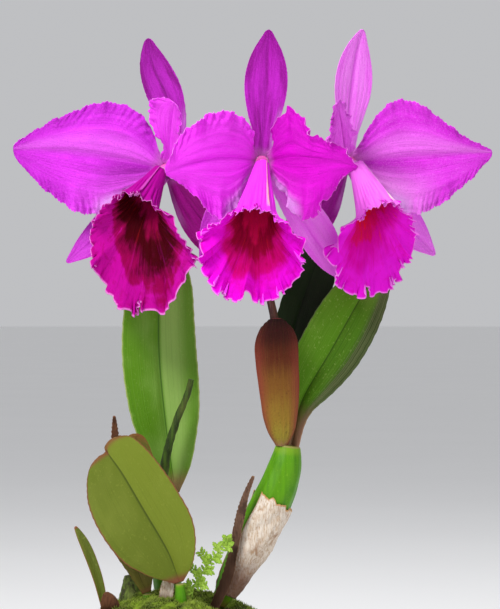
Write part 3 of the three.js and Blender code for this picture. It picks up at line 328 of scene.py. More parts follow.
def closed_rings(grid, ends, inward=False):
    """Points and faces of a tube of rings, with a fan at each end. inward turns its faces round."""
    rows, sides = grid.shape[:2]
    foot, before = rows * sides, (rows - 1) * sides
    j = np.arange(sides)
    k = np.roll(j, -1)
    fans = np.concatenate([stacked(foot, j, k), stacked(foot + 1, before + k, before + j)])
    turn = slice(None, None, -1 if inward else 1)
    faces = grid_quads(rows, sides, closed=True)[:, turn].tolist() + fans[:, turn].tolist()
    return np.concatenate([grid.reshape(-1, 3), ends]), faces


def sheet_mesh(name, grid, half, first, second, front):
    """A thin closed mesh round a grid. half is half its thickness, first and second its places at each point.

    Its place's side is 1 on the face that shows. front is 1 where the grid's normals point that way, or -1.
    """
    shape = grid.shape[:2]
    count = shape[0] * shape[1]
    thickness = unit(np.cross(np.gradient(grid, axis=0), np.gradient(grid, axis=1)))
    thickness = thickness * np.broadcast_to(half, shape)[..., None]
    points = np.concatenate([(grid + thickness).reshape(-1, 3), (grid - thickness).reshape(-1, 3)])
    index = np.arange(count).reshape(shape)
    loop = np.concatenate([index[0], index[1:, -1], index[-1, -2::-1], index[-2:0:-1, 0]])
    after = np.roll(loop, -1)
    rim = np.stack([loop, after, after + count, loop + count], -1)
    quads = grid_quads(*shape)
    faces = np.concatenate([quads, quads[:, ::-1] + count, rim])
    place = [np.tile(np.broadcast_to(values, shape).ravel(), 2) for values in (first, second)]
    side = front * np.repeat([1.0, -1.0], count)
    return mesh_from(name, points, faces.tolist(), np.stack([*place, side], -1))


# ---------------------------------------------------------------- blades: tepals, leaves, bracts


def squared(ahead, face):
    face = unit(face - ahead * np.sum(face * ahead, -1, keepdims=True))
    return face, np.cross(ahead, face)


def turning_midrib(base, start, facing, length, curl, bow, twist, marks):
    """Midrib that leaves its base along start, facing a way, and bends by curl, bow and twist on its way."""
    steps = 60
    ahead, point = unit(start), np.asarray(base, float)
    face = squared(ahead, facing)[0]
    line = [(point, ahead, face)]
    for k in range(steps):
        x = (k + 0.5) / steps
        side = np.cross(ahead, face)
        bend = math.radians(along(curl, x)) / steps
        ahead, face = turned(ahead, side, bend), turned(face, side, bend)
        ahead = turned(ahead, face, math.radians(along(bow, x)) / steps)
        face = turned(face, ahead, math.radians(along(twist, x)) / steps)
        point = point + ahead * length / steps
        line.append((point, ahead, face))
    points, aheads, faces = (along(np.array(part), marks) for part in zip(*line))
    aheads = unit(aheads)
    return (points, aheads, *squared(aheads, faces))


def routed_midrib(points, facing, marks):
    ahead = heading(points, marks)
    return (along(points, marks), ahead, *squared(ahead, np.array(facing, float)))


def blade_grid(midrib, marks, across, left, right, tip=6, blunt=(0, 0), lobes=(0, 0), cup=(0, 0), fold=(0, 0),
               ruffle=0, waves=5, phase=0, frill=0, frill_waves=17, crinkle=0, groove=0, pleat=0, ragged=0,
               scallop=0, end=0.5):
    """Grid of points over a blade. left and right are half-widths seen from its face.

    frill, ragged and scallop are the fine waves, teeth and lobes of its margin, crinkle the short pleats
    beside it, groove the channel of its midrib, and pleat the soft folds that spread from its base.
    """
    point, ahead, face, side = midrib
    mark = marks[:, None]
    out = np.abs(across)[None]
    hand = np.where(across < 0, -1.0, 1.0)[None]
    rounding = np.sqrt(np.maximum(1 - mark**tip, 0))
    bend = np.radians(along(cup, mark))
    bend = np.where(np.abs(bend) < 1e-3, 1e-3, bend)
    crease = np.radians(along(fold, mark))
    shortened = rounding + (1 - rounding) * np.where(hand < 0, *blunt)
    width = np.where(hand < 0, along(left, mark), along(right, mark)) * shortened + end
    teeth = ragged * folds(frill_waves * 2.3 * mark, phase + hand)
    teeth = teeth + scallop * folds(2.3 * waves * mark, 3 * phase + hand)
    width = width + teeth * out**2 * rounding * smooth(0, 0.2, mark)
    run = np.sin(bend * out) / bend * width
    rise = (1 - np.cos(bend * out)) / bend * width
    lean = crease + bend * out
    shift = phase + np.where(hand < 0, 0, 1.7)
    lift = ruffle * out**3 * folds(waves * mark, shift)
    lift = lift + frill * out**7 * folds(frill_waves * mark, 3 * shift + 0.7)
    patchy = 0.55 + 0.45 * folds(2.7 * mark, 5 * phase + 2 * hand)
    slanted = frill_waves * 1.3 * (mark - 0.16 * (1 - out)) + 0.35 * np.sin(17 * mark + phase)
    lift = lift + crinkle * patchy * smooth(0.5, 0.95, out) * np.sin(2 * np.pi * slanted + phase + hand)
    spread = smooth(0, 0.15, mark) * (1 - smooth(0.45, 0.95, mark))
    lift = lift + pleat * folds(4.5 * across[None], 2 * phase) * spread
    lift = (lift - groove * np.exp(-((out * width / 1.8) ** 2))) * rounding
    sideways = np.cos(crease) * run - np.sin(crease) * rise - np.sin(lean) * lift
    forward = np.sin(crease) * run + np.cos(crease) * rise + np.cos(lean) * lift
    lobe = np.where(hand < 0, *lobes) * smooth(0.8, 1, mark) * np.abs(np.sin(np.pi * out**0.75)) ** 0.6
    parts = ((side, hand * sideways), (face, forward), (ahead, lobe + 0 * forward))
    return point[:, None] + sum(way[:, None] * amount[..., None] for way, amount in parts)


def across_blade(count):
    """Shares from margin to margin, with one more close to each margin for its thin rounded edge."""
    near = 0.988
    return np.concatenate([[-1, -near], np.linspace(-1, 1, count + 1)[1:-1], [near, 1]])


def blade_mesh(node, midrib, marks, across, centre, margin, **shape):
    """A blade that is centre thick along its midrib and margin thick at its edges."""
    half = (margin + (centre - margin) * (1 - across**2)) / 2
    return sheet_mesh(node, blade_grid(midrib, marks, across, **shape), half, marks[:, None], across, -1)


# ---------------------------------------------------------------- rods


def rings(points, radii, marks, angles):
    """Rings round an axis, starting level with the front."""
    centres, ahead = along(points, marks), heading(points, marks)
    steep = 0.9
    guide = np.array((0.0, 0, 1)) if abs(ahead[0][1]) > steep else np.array((0.0, -1, 0))
    lateral = unit(np.cross(ahead[0], guide))
    laterals = []
    for direction in ahead:
        lateral = unit(lateral - direction * np.dot(direction, lateral))
        laterals.append(lateral)
    laterals = np.array(laterals)
    front = np.cross(laterals, ahead)
    radius = along(radii, marks)[:, None]
    across, deep = ((radius * turn)[..., None] for turn in (np.cos(angles), np.sin(angles)))
    return centres[:, None] + laterals[:, None] * across + front[:, None] * deep


CAP = dict(inset=0.75, height=0.25)


def rod_mesh(name, points, radii, lengthwise=40, sides=32, lumps=0.0, lump=3.0, ribs=0.0, rib_count=0):
    """Closed rod with rounded ends. lumps and ribs make its surface uneven, in mm."""
    marks = np.linspace(0, 1, lengthwise + 1)
    angles = np.arange(sides) / sides * 2 * np.pi
    grid = rings(points, radii, marks, angles)
    centres = along(points, marks)[:, None]
    ribbed = ribs * np.cos(rib_count * angles) * np.sin(np.pi * marks)[:, None]
    uneven = lumps * noise(grid, lump, SEED) + ribbed
    grid = grid + unit(grid - centres) * uneven[..., None]
    caps = [(grid[row] - centres[row]) * CAP["inset"] + centres[row] + beyond * heading(points, marks[row])
            for row, beyond in ((0, -CAP["height"]), (-1, CAP["height"]))]
    grid = np.concatenate([caps[:1], grid, caps[1:]])
    points, faces = closed_rings(grid, [grid[0].mean(0), grid[-1].mean(0)])
    mark, turn = np.meshgrid([0, *marks, 1], angles / np.pi - 1, indexing="ij")
    place = np.stack([mark.ravel(), turn.ravel(), np.ones(mark.size)], -1)
    return mesh_from(name, points, faces, np.concatenate([place, [[0, 0, 1], [1, 0, 1]]]))


def joined(name, meshes):
    """One mesh out of several."""
    whole = bmesh.new()
    for mesh in meshes:
        whole.from_mesh(mesh)
    made = bpy.data.meshes.new(name)
    whole.to_mesh(made)
    whole.free()
    return made

# ---------------------------------------------------------------- materials


def tone(red, green, blue):
    """Colour from 0 to 255, as a screen shows it, for a shader."""
    channels = [value / 255 for value in (red, green, blue)]
    linear = [c / 12.92 if c < 0.04045 else ((c + 0.055) / 1.055) ** 2.4 for c in channels]
    return (*linear, 1.0)


class Shader:
    """A procedural material, built out of nodes on its Principled shader.

    mark, across and side are the place that a mesh carries: station, share of the width or turn, and side.
    out is the share without its sign. A colour is a node's output, or (red, green, blue) from 0 to 255.
    """

    def __init__(self, name):
        self.material = bpy.data.materials.new(name)
        self.material.use_nodes = True
        self.tree = self.material.node_tree
        place = self.node("ShaderNodeAttribute", output="Vector", attribute_name="place")
        parts = self.tree.nodes.new("ShaderNodeSeparateXYZ")
        self.tree.links.new(place, parts.inputs[0])
        self.mark, self.across, self.side = parts.outputs
        self.out = self.math("ABSOLUTE", self.across)
        self.point = self.node("ShaderNodeTexCoord", output="Object")
        self.colour = None

    def feed(self, socket, value):
        if isinstance(value, bpy.types.NodeSocket):
            self.tree.links.new(value, socket)
        else:
            socket.default_value = value

    def node(self, kind, inputs=(), output=0, **settings):
        node = self.tree.nodes.new(kind)
        for key, value in settings.items():
            setattr(node, key, value)
        for key, value in dict(inputs).items():
            self.feed(node.inputs[key], value)
        return node.outputs[output]

    def math(self, operation, *values):
        return self.node("ShaderNodeMath", enumerate(values), operation=operation)

    def plus(self, first, second, share=1.0):
        """first with a share of second."""
        return self.math("MULTIPLY_ADD", second, share, first)

    def frayed(self, value, noise, amount):
        """A value made uneven by some noise."""
        return self.plus(value, self.plus(noise, -0.5), amount)

    def ease(self, value, low, high):
        """0 at low, 1 at high, smooth between them. low may be the bigger one."""
        ends = (low, high, 0.0, 1.0) if low < high else (high, low, 1.0, 0.0)
        return self.node("ShaderNodeMapRange", enumerate((value, *ends)), interpolation_type="SMOOTHSTEP")

    def mix(self, share, first, second):
        colours = [tone(*colour) if isinstance(colour, tuple) else colour for colour in (first, second)]
        inputs = {0: share, 6: colours[0], 7: colours[1]}
        return self.node("ShaderNodeMix", inputs, output=2, data_type="RGBA")

    def between(self, value, low, high, first, second):
        """Starts with two colours: one where a value is low, the other where it is high."""
        self.colour = self.mix(self.ease(value, low, high), first, second)

    def tint(self, colour, share, *ranges):
        """Lays a share of a colour over what is there, where each (value, low, high) eases it in."""
        if share == 0:
            return
        for value_range in ranges:
            share = self.math("MULTIPLY", self.ease(*value_range), share)
        self.colour = self.mix(share, self.colour, colour)

    def grain(self, place, detail=3.0, roughness=0.55, distortion=0.0):
        inputs = {"Vector": place, "Scale": 1, "Detail": detail, "Roughness": roughness}
        return self.node("ShaderNodeTexNoise", {**inputs, "Distortion": distortion})

    def streaks(self, across, lengthwise, shift=0.0, detail=3.0, roughness=0.55, distortion=0.0):
        """Noise on a blade or tube, in cells over its width and length."""
        x, y = (self.math("MULTIPLY", *pair) for pair in ((self.across, across), (self.mark, lengthwise)))
        place = self.node("ShaderNodeCombineXYZ", enumerate((x, y, shift)))
        return self.grain(place, detail, roughness, distortion)

    def cells(self, level, upright, detail=3.0, roughness=0.55):
        """Noise in the frame, in cells a metre, level and upright."""
        inputs = {0: self.point, 1: (level, level, upright)}
        return self.grain(self.node("ShaderNodeVectorMath", inputs, operation="MULTIPLY"), detail, roughness)

    def ramp(self, value, stops):
        """Starts with colours along a value, from stops of (value, colour)."""
        node = self.tree.nodes.new("ShaderNodeValToRGB")
        node.color_ramp.interpolation = "EASE"
        elements = node.color_ramp.elements
        while len(elements) < len(stops):
            elements.new(0.5)
        for element, (position, colour) in zip(elements, stops):
            element.position, element.color = position, tone(*colour)
        self.feed(node.inputs[0], value)
        self.colour = node.outputs[0]

    def done(self, roughness, specular, height=None, depth=0, strength=0, flesh=None):
        """Connects colour, roughness and bump (depth in mm). flesh scatters light: share, by colour, mm."""
        inputs = {"Base Color": self.colour, "Roughness": roughness, "Specular IOR Level": specular}
        if height is not None:
            bump = {"Strength": strength, "Distance": depth * MM, "Height": height}
            inputs["Normal"] = self.node("ShaderNodeBump", bump, output="Normal")
        if flesh:
            share, by_colour, reach = flesh
            inputs |= {"Subsurface Weight": share, "Subsurface Radius": by_colour}
            inputs["Subsurface Scale"] = reach * MM
        for name, value in inputs.items():
            self.feed(self.tree.nodes["Principled BSDF"].inputs[name], value)
        return self.material


def petal_material(name, bright, deep, vein, pale, tip=0, basal=0, shade=0, band=0, hand=1):
    """tip is how far its tip is deep, basal how pale its lower half is near the base.

    shade is how far its upper margin is deep and how dark the fold below its midrib is near the base, painted
    shade; band how pale it is above its midrib, a painted highlight. hand is its lower side.
    """
    s = Shader(name)
    lower = s.math("MULTIPLY", s.across, hand)
    veins = s.streaks(50, 1.6, 3.0, 5.0, 0.7, 0.35)
    fine = s.cells(1500, 1500, 2.0)
    s.colour = bright
    s.tint(deep, 0.8, (s.streaks(2.6, 2.4, roughness=0.6), 0.4, 0.66))
    s.tint(vein, 0.34, (veins, 0.5, 0.7))
    s.tint(pale, 0.28, (veins, 0.42, 0.28))
    s.tint(deep, tip, (s.mark, 0.5, 1.0))
    # Painted shade on the upper margin, a painted highlight band above the midrib, and the painted shadow of
    # a fold below it.
    s.tint(deep, shade, (lower, -0.45, -0.95))
    s.tint(pale, band, (lower, 0.12, -0.06), (lower, -0.62, -0.2))
    s.tint(vein, shade, (lower, 0.02, 0.12), (lower, 0.45, 0.2), (s.mark, 0.5, 0.25))
    s.tint(pale, basal, (lower, 0.1, 0.7), (s.mark, 0.7, 0.2))
    s.tint(vein, 0.35, (s.out, 0.14, 0.0))
    flap = 0.75 if basal else 0.3
    s.tint((218, 168, 232), flap, (lower, 0.6, 0.85), (s.mark, 0.02, 0.1), (s.mark, 0.44, 0.3))
    s.tint((214, 120, 206), 0.8, (s.mark, 0.1, 0.0))
    # A thin pale line along the margin: painted rim light.
    s.tint((255, 170, 250), 0.5, (s.out, 0.982, 1.0))
    s.tint(pale, 0.2, (fine, 0.5, 0.72))
    s.tint(vein, 0.3, (fine, 0.46, 0.28))
    return s.done(0.55, 0.14, s.plus(veins, fine, 0.25), 1.2, 0.75, (0.08, (1.0, 0.3, 0.9), 1.5))


def lip_material(name, mouth, throat, middle, rim, back, seam, reach, lined, aside):
    """mark is -1 to 0 in the tube and 0 to 1 from its mouth to the rim, across the turn from the midline.

    reach is how far towards the rim the throat's colour goes, lined how strong its red lines are, and aside
    how far beside the midline it is centred.
    """
    s = Shader(name)
    streaks = s.streaks(34, 1.1, 7.0, 5.0, 0.7, 0.3)
    mottle = s.streaks(22, 9.0, 5.0, 3.0, 0.6)
    frayed = s.frayed(s.frayed(s.mark, streaks, 0.4), s.streaks(7.0, 3.0, 2.0), 0.8)
    turn = s.math("ABSOLUTE", s.plus(s.across, -aside))
    frayed = s.plus(frayed, s.ease(turn, 0.0, 0.5), 0.46)
    s.ramp(s.plus(0.5, frayed, 0.5), [
        (0.0, mouth), (0.5, mouth), (0.5 + 0.17 * reach, throat), (0.5 + 0.28 * reach, throat),
        (0.5 + 0.46 * reach, middle), (0.97, rim)])
    s.tint(rim, 0.45, (streaks, 0.54, 0.72), (s.mark, 0.15, 0.6))
    s.tint(rim, 0.35, (mottle, 0.5, 0.66), (s.mark, 0.45, 0.8))
    s.tint(middle, 0.35, (mottle, 0.48, 0.34), (s.mark, 0.3, 0.6))
    s.tint(throat, 0.25, (streaks, 0.47, 0.33), (s.mark, 0.0, 0.3))
    s.tint((222, 34, 34), lined, (streaks, 0.55, 0.64), (s.mark, 0.42, 0.12))
    inner, s.colour = s.colour, back
    s.tint(rim, 0.4, (streaks, 0.5, 0.72))
    s.tint(seam, 1, (s.across, -1.13, -1.165), (s.mark, 0.05, -0.1))
    s.tint(inner, 1, (s.side, -0.2, 0.2))
    s.tint((254, 160, 244), 0.55, (s.mark, 0.97, 0.99))
    height = s.plus(streaks, s.cells(1500, 1500, 1.0), 0.2)
    return s.done(0.55, 0.03, height, 1.1, 0.75, (0.05, (1.0, 0.2, 0.6), 1.5))


def leaf_material(name, left, right, pale, rim, foot, midrib, specks=0.5, roughness=0.42, sheen=0,
                  underside=0, notch=0, lined=0.35, stalk=0.11):
    """sheen is a paler band on the right of the midrib, underside a grey one at the right margin.

    notch is how far the rim's colour reaches into the tip, lined how strong the lines along it are, stalk
    how far up the foot's colour goes.
    """
    s = Shader(name)
    lines = s.streaks(46, 1.2, 2.0, 3.0, 0.6)
    spots = s.cells(800, 620, 2.0)
    s.between(lines, 0.4, 0.62, (52, 60, 30), (104, 110, 74))
    edge = s.colour
    s.between(s.across, -0.04, 0.04, left, right)
    s.tint(pale, sheen, (s.across, 0.02, 0.12), (s.across, 0.85, 0.4))
    s.tint(pale, 0.35, (s.cells(30, 18), 0.45, 0.7))
    s.tint(pale, 0.7 * lined, (lines, 0.52, 0.7))
    s.tint(midrib, lined, (lines, 0.45, 0.3))
    # Pale specks: painted glints of sheen.
    s.tint(pale, specks, (spots, 0.6, 0.7))
    s.tint(edge, underside, (s.frayed(s.across, lines, 0.5), 0.5, 0.72))
    s.tint(midrib, 0.8, (s.out, 0.045, 0.0))
    s.tint(rim, 0.8, (s.out, 0.95, 0.99))
    s.tint(rim, notch, (s.mark, 0.93, 0.985))
    s.tint(foot, 0.85, (s.mark, stalk, stalk / 3))
    gloss = s.plus(roughness, spots, 0.15)
    return s.done(gloss, 0.2, s.plus(lines, spots, 0.35), 0.5, 0.5, (0.03, (0.4, 1.0, 0.2), 1.0))


def stem_material(name, body, dark, light, roughness=0.5, lengthwise=60, cells=520, front=None):
    """Streaks along the height, and small spots. front is the colour of its first tenth."""
    s = Shader(name)
    streaks = s.cells(cells, lengthwise, 3.0, 0.6)
    spots = s.cells(1100, 1100, 1.0)
    s.between(streaks, 0.38, 0.66, dark, body)
    s.tint(light, 0.6, (s.cells(70, 45, 2.0), 0.45, 0.7))
    s.tint(light, 0.35, (spots, 0.6, 0.75))
    if front:
        s.tint(front, 1, (s.mark, 0.16, 0.1))
    return s.done(roughness, 0.3, s.plus(streaks, spots, 0.3), 0.6, 0.5, (0.05, (0.6, 1.0, 0.3), 1.0))


def bulb_material(name):
    s = Shader(name)
    streaks = s.cells(420, 30, 3.0, 0.6)
    spots = s.cells(1300, 1000, 1.0)
    s.between(streaks, 0.3, 0.7, (68, 126, 0), (84, 144, 0))
    s.tint((106, 156, 4), 0.3, (s.cells(60, 40, 2.0), 0.45, 0.75))
    s.tint((150, 190, 60), 0.2, (spots, 0.62, 0.75))
    s.tint((140, 168, 40), 0.4, (s.mark, 0.88, 0.95))
    s.tint((150, 122, 84), 0.6, (s.mark, 0.975, 0.985))
    s.tint((110, 74, 40), 0.8, (s.mark, 0.12, 0.0))
    return s.done(0.45, 0.22, s.plus(streaks, spots, 0.2), 0.4, 0.35, (0.06, (0.5, 1.0, 0.2), 1.0))


def paper_material(name, pale, warm, stain, foot, edge, stain_from=0.52):
    """Dry, fibrous skin with stains. foot is its colour low down, edge that of its torn top."""
    s = Shader(name)
    fibres = s.cells(1300, 160, 4.0, 0.7)
    patches = s.cells(75, 50, 5.0, 0.65)
    s.between(fibres, 0.32, 0.6, warm, pale)
    s.tint(stain, 0.7, (patches, stain_from, stain_from + 0.14))
    s.tint(stain, 0.4, (s.cells(520, 420, 4.0, 0.65), 0.55, 0.68))
    s.tint(foot, 0.85, (s.frayed(s.mark, patches, 0.35), 0.56, 0.14))
    s.tint(edge, 0.85, (s.mark, 0.975, 0.992))
    s.tint(edge, 0.6, (s.out, 0.97, 1.0))
    return s.done(0.75, 0.2, s.plus(fibres, patches), 0.8, 0.7, (0.1, (1.0, 0.8, 0.6), 2.0))


def spathe_material(name):
    s = Shader(name)
    lines = s.streaks(34, 1.2, 0.0, 3.0, 0.6)
    spots = s.cells(900, 900, 2.0)
    s.ramp(s.frayed(s.mark, lines, 0.3), [
        (0.0, (140, 104, 72)), (0.12, (138, 122, 40)), (0.3, (134, 104, 34)), (0.48, (118, 76, 26)),
        (0.66, (90, 38, 16)), (0.84, (52, 12, 6)), (1.0, (26, 3, 2))])
    s.tint((134, 98, 44), 0.3, (lines, 0.52, 0.7))
    s.tint((66, 22, 16), 0.35, (spots, 0.58, 0.72))
    s.tint((136, 56, 46), 0.75, (s.out, 0.12, 0.42), (s.mark, 1.0, 0.5))
    s.tint((150, 70, 62), 0.6, (s.mark, 0.985, 1.0))
    return s.done(0.6, 0.15, s.plus(lines, spots), 0.8, 0.7)


def moss_material(name):
    s = Shader(name)
    clumps = s.cells(150, 150)
    patches = s.cells(45, 45, 2.0)
    specks = s.cells(1500, 1500, 2.0)
    s.between(clumps, 0.35, 0.65, (58, 72, 14), (124, 150, 38))
    s.tint((158, 178, 70), 0.55, (patches, 0.5, 0.7))
    s.tint((52, 42, 20), 0.6, (patches, 0.42, 0.28))
    s.tint((176, 196, 78), 0.6, (s.mark, 0.3, 1.0))
    s.tint((190, 204, 120), 0.5, (specks, 0.6, 0.72))
    return s.done(0.85, 0.2, s.plus(clumps, specks), 1, 0.7)


def bark_material(name):
    s = Shader(name)
    layers = s.cells(260, 800, 4.0, 0.7)
    s.between(layers, 0.35, 0.65, (48, 30, 20), (112, 72, 46))
    s.tint((146, 104, 70), 0.6, (s.cells(120, 120, 2.0), 0.5, 0.7))
    return s.done(0.9, 0.2, layers, 1.2, 0.8)


def clay_material(name):
    s = Shader(name)
    turning = s.cells(6, 900, 3.0, 0.6)
    grit = s.cells(1400, 1400)
    s.between(s.cells(38, 38, 5.0, 0.65), 0.35, 0.68, (166, 92, 58), (194, 120, 82))
    s.tint((206, 140, 104), 0.3, (turning, 0.5, 0.7))
    s.tint((116, 62, 42), 0.35, (grit, 0.62, 0.72))
    s.tint((222, 196, 172), 0.45, (s.cells(55, 90, 5.0, 0.7), 0.56, 0.72))
    return s.done(0.85, 0.25, s.plus(s.math("MULTIPLY", turning, 0.8), grit, 0.5), 0.5, 0.6)


def floor_material(name):
    s = Shader(name)
    s.colour = s.mix(s.cells(3, 3, 2.0), (240, 240, 240), (244, 244, 244))
    return s.done(0.9, 0.1)


# bright, deep, vein and pale of a petal or sepal; how deep its tip, how pale its base; its painted shade and
# its painted highlight band
# Each petal and sepal gets tones made lighter or darker for how lit or shaded it stands, which is painted
# light and shade. left_bloom_sepal_right and right_bloom_sepal_left are darkened as painted shade, and
# middle_bloom_sepal_right and right_bloom_petal_left are lightened as painted light. The last entry, sepal,
# is the plain tone.
PETAL_TONES_LIT_AND_SHADED = {
    "left_bloom_petal_left": ((226, 52, 236), (190, 34, 200), (142, 12, 150), (246, 118, 250),
                              0.4, 0.4, 0.6, 0.45),
    "left_bloom_petal_right": ((255, 78, 255), (244, 54, 246), (206, 24, 210), (255, 130, 255)),
    "left_bloom_dorsal_sepal": ((186, 36, 190), (126, 4, 118), (98, 0, 92), (208, 72, 216), 0.5),
    "left_bloom_sepal_right": ((168, 14, 142), (134, 4, 108), (108, 0, 88), (190, 36, 168)),
    "middle_bloom_petal_left": ((255, 66, 255), (250, 48, 250), (214, 22, 216), (255, 112, 255), 0.1, 0.4),
    "middle_bloom_petal_right": ((216, 6, 204), (192, 2, 180), (152, 0, 140), (240, 60, 230), 0.2, 0.5),
    "middle_bloom_dorsal_sepal": ((196, 34, 198), (142, 4, 134), (120, 0, 114), (218, 76, 226), 0.6),
    "middle_bloom_sepal_right": ((255, 132, 255), (255, 104, 255), (236, 66, 236), (255, 176, 255)),
    "right_bloom_petal_left": ((252, 104, 252), (222, 58, 222), (168, 14, 158), (255, 156, 255)),
    "right_bloom_petal_right": ((232, 60, 234), (204, 34, 206), (164, 14, 166), (252, 160, 250),
                                0.3, 0.9, 0.5, 0.35),
    "right_bloom_dorsal_sepal": ((255, 136, 255), (252, 108, 252), (222, 62, 226), (255, 184, 255), 0.1),
    "right_bloom_sepal_left": ((176, 30, 164), (140, 10, 128), (112, 2, 100), (204, 60, 196)),
    "right_bloom_sepal_right": ((252, 126, 252), (240, 96, 244), (210, 56, 216), (255, 188, 255)),
    "sepal": ((226, 74, 230), (190, 34, 190), (156, 14, 154), (250, 132, 248)),
}
PETAL_SKINS = {
    node: petal_material(f"{node}_skin", *tones, hand=-1 if node.endswith("_left") else 1)
    for node, tones in PETAL_TONES_LIT_AND_SHADED.items()
}
# mouth, throat, middle, rim, back, overlapping edge of the tube; the throat's reach, lines and way aside
LIP_TONES = {
    "left": ((150, 3, 70), (62, 0, 10), (140, 1, 72), (180, 8, 142), (178, 14, 152), (214, 90, 196),
             0.88, 0.2, 0.14),
    "middle": ((206, 10, 80), (140, 1, 46), (186, 1, 104), (222, 8, 204), (246, 66, 244), (250, 168, 186),
               0.62, 0.5, 0.0),
    "right": ((228, 22, 48), (208, 6, 100), (212, 2, 160), (232, 24, 216), (248, 120, 242), (253, 222, 228),
              0.46, 0.95, -0.14),
}
LIP_SKINS = {side: lip_material(f"{side}_lip_skin", *tones) for side, tones in LIP_TONES.items()}
COLUMN_SKIN = petal_material("column_skin", (250, 214, 240), (236, 170, 226), (220, 120, 210),
                             (255, 240, 250))
STALK_SKIN = stem_material("stalk_skin", (150, 120, 84), (112, 62, 62), (176, 150, 96), front=(232, 96, 186))
FLOWER_STEM_SKIN = stem_material("flower_stem_skin", (58, 18, 18), (30, 6, 8), (84, 50, 28))
OLD_STEM_SKIN = stem_material("old_stem_skin", (58, 84, 14), (34, 50, 8), (92, 98, 38), 0.75)
RHIZOME_SKIN = stem_material("rhizome_skin", (124, 84, 60), (74, 44, 30), (156, 120, 88), 0.85, 300, 300)
MOSSY_SKIN = stem_material("mossy_bulb_skin", (92, 110, 42), (52, 54, 26), (136, 150, 70), 0.8, 200)
BULB_SKIN = bulb_material("pseudobulb_skin")
# left and right half, pale, rim, foot and midrib; specks, which are painted glints, and roughness; the rest
# by name
LEAF_TONES = {
    "left_leaf": ((80, 128, 2), (86, 130, 24), (146, 178, 92), (156, 172, 96), (158, 122, 86), (36, 80, 4),
                  0.15, 0.38, dict(sheen=0.6, lined=0.14)),
    "right_leaf": ((82, 134, 8), (74, 124, 6), (128, 164, 66), (84, 96, 58), (166, 122, 98), (36, 62, 4),
                   0.6, 0.6, dict(underside=0.85, stalk=0.27)),
    "young_leaf": ((108, 118, 40), (92, 104, 32), (140, 146, 68), (150, 84, 62), (110, 96, 50), (38, 54, 8),
                   dict(notch=0.9)),
    # back_leaf's near-black greens are painted shade, because the leaf stands in shadow behind the growth.
    "back_leaf": ((14, 32, 2), (10, 24, 1), (26, 46, 6), (36, 44, 14), (50, 50, 20), (4, 12, 0),
                  0.2, 0.7, {}),
    "front_leaf": ((94, 108, 24), (108, 122, 30), (132, 142, 56), (128, 58, 50), (128, 66, 54), (44, 58, 4),
                   0.28, 0.5, dict(notch=0.7, lined=0.12)),
    "second_leaf": ((96, 92, 26), (92, 86, 26), (128, 120, 50), (136, 62, 38), (120, 84, 50), (56, 54, 10),
                    dict(notch=0.5)),
    "weed": ((156, 196, 64), (140, 182, 52), (200, 220, 120), (110, 146, 34), (84, 116, 30), (84, 120, 24),
             {}),
}
LEAF_SKINS = {
    node: leaf_material(f"{node}_skin", *tones, **more) for node, (*tones, more) in LEAF_TONES.items()
}
PAPER_SKIN = paper_material("papery_skin", (226, 214, 200), (186, 158, 128), (142, 98, 60), (100, 56, 34),
                            (188, 134, 66))
DRY_SKIN = paper_material("dry_brown_skin", (104, 76, 60), (72, 50, 38), (46, 30, 22), (60, 36, 24),
                          (132, 98, 70), 0.48)
SCALE_SKIN = paper_material("scale_skin", (106, 68, 44), (80, 46, 30), (46, 26, 16), (64, 40, 26),
                            (120, 72, 44), 0.48)
SPATHE_SKIN = spathe_material("spathe_skin")
MOSS_SKIN = moss_material("moss_cushion")
BARK = bark_material("bark_chips")
CLAY = clay_material("fired_clay")

# ---------------------------------------------------------------- blooms


def bloom_axes(bloom):
    turn, tilt = math.radians(bloom["yaw"]), math.radians(bloom["pitch"])
    level = np.array((math.sin(turn), -math.cos(turn), 0))
    forward = level * math.cos(tilt) + np.array((0, 0, math.sin(tilt)))
    right = np.array((math.cos(turn), math.sin(turn), 0))
    return forward, right, np.cross(forward, right)


def in_bloom(bloom, up, forward):
    """A point above and in front of a bloom's centre."""
    ahead, _, upward = bloom_axes(bloom)
    return bloom["centre"] + upward * up + ahead * forward


def rod_piece(node, skin, points, radii, **shape):
    add_piece(node, rod_mesh(node, points, radii, **shape), skin)


# The flesh of a petal's or sepal's foot runs together with its neighbours: mm that it is sunk, and mm wider.
FOOT = dict(sunk=1, flare=1.6)
PLAIN = dict(sweep=0, curl=(0, 0), bow=(0, 0), twist=(0, 0), cup=(0, 0), ruffle=0, waves=5, phase=0)
# Points along and across, and fine forms in mm. Lobes and frills are shares of the ruffle's height.
PETAL = dict(points=(136, 64), lobes=0.28, fine=dict(crinkle=0.72, ragged=0.45, groove=0.9, pleat=0.26))
NARROW = dict(points=(64, 30), lobes=0, fine=dict(crinkle=0.1, ragged=0.1, groove=1, pleat=0.2))
FRILLS = dict(height=0.35, length=4.6)
TEPAL_THICKNESS = dict(centre=0.9, margin=0.3)


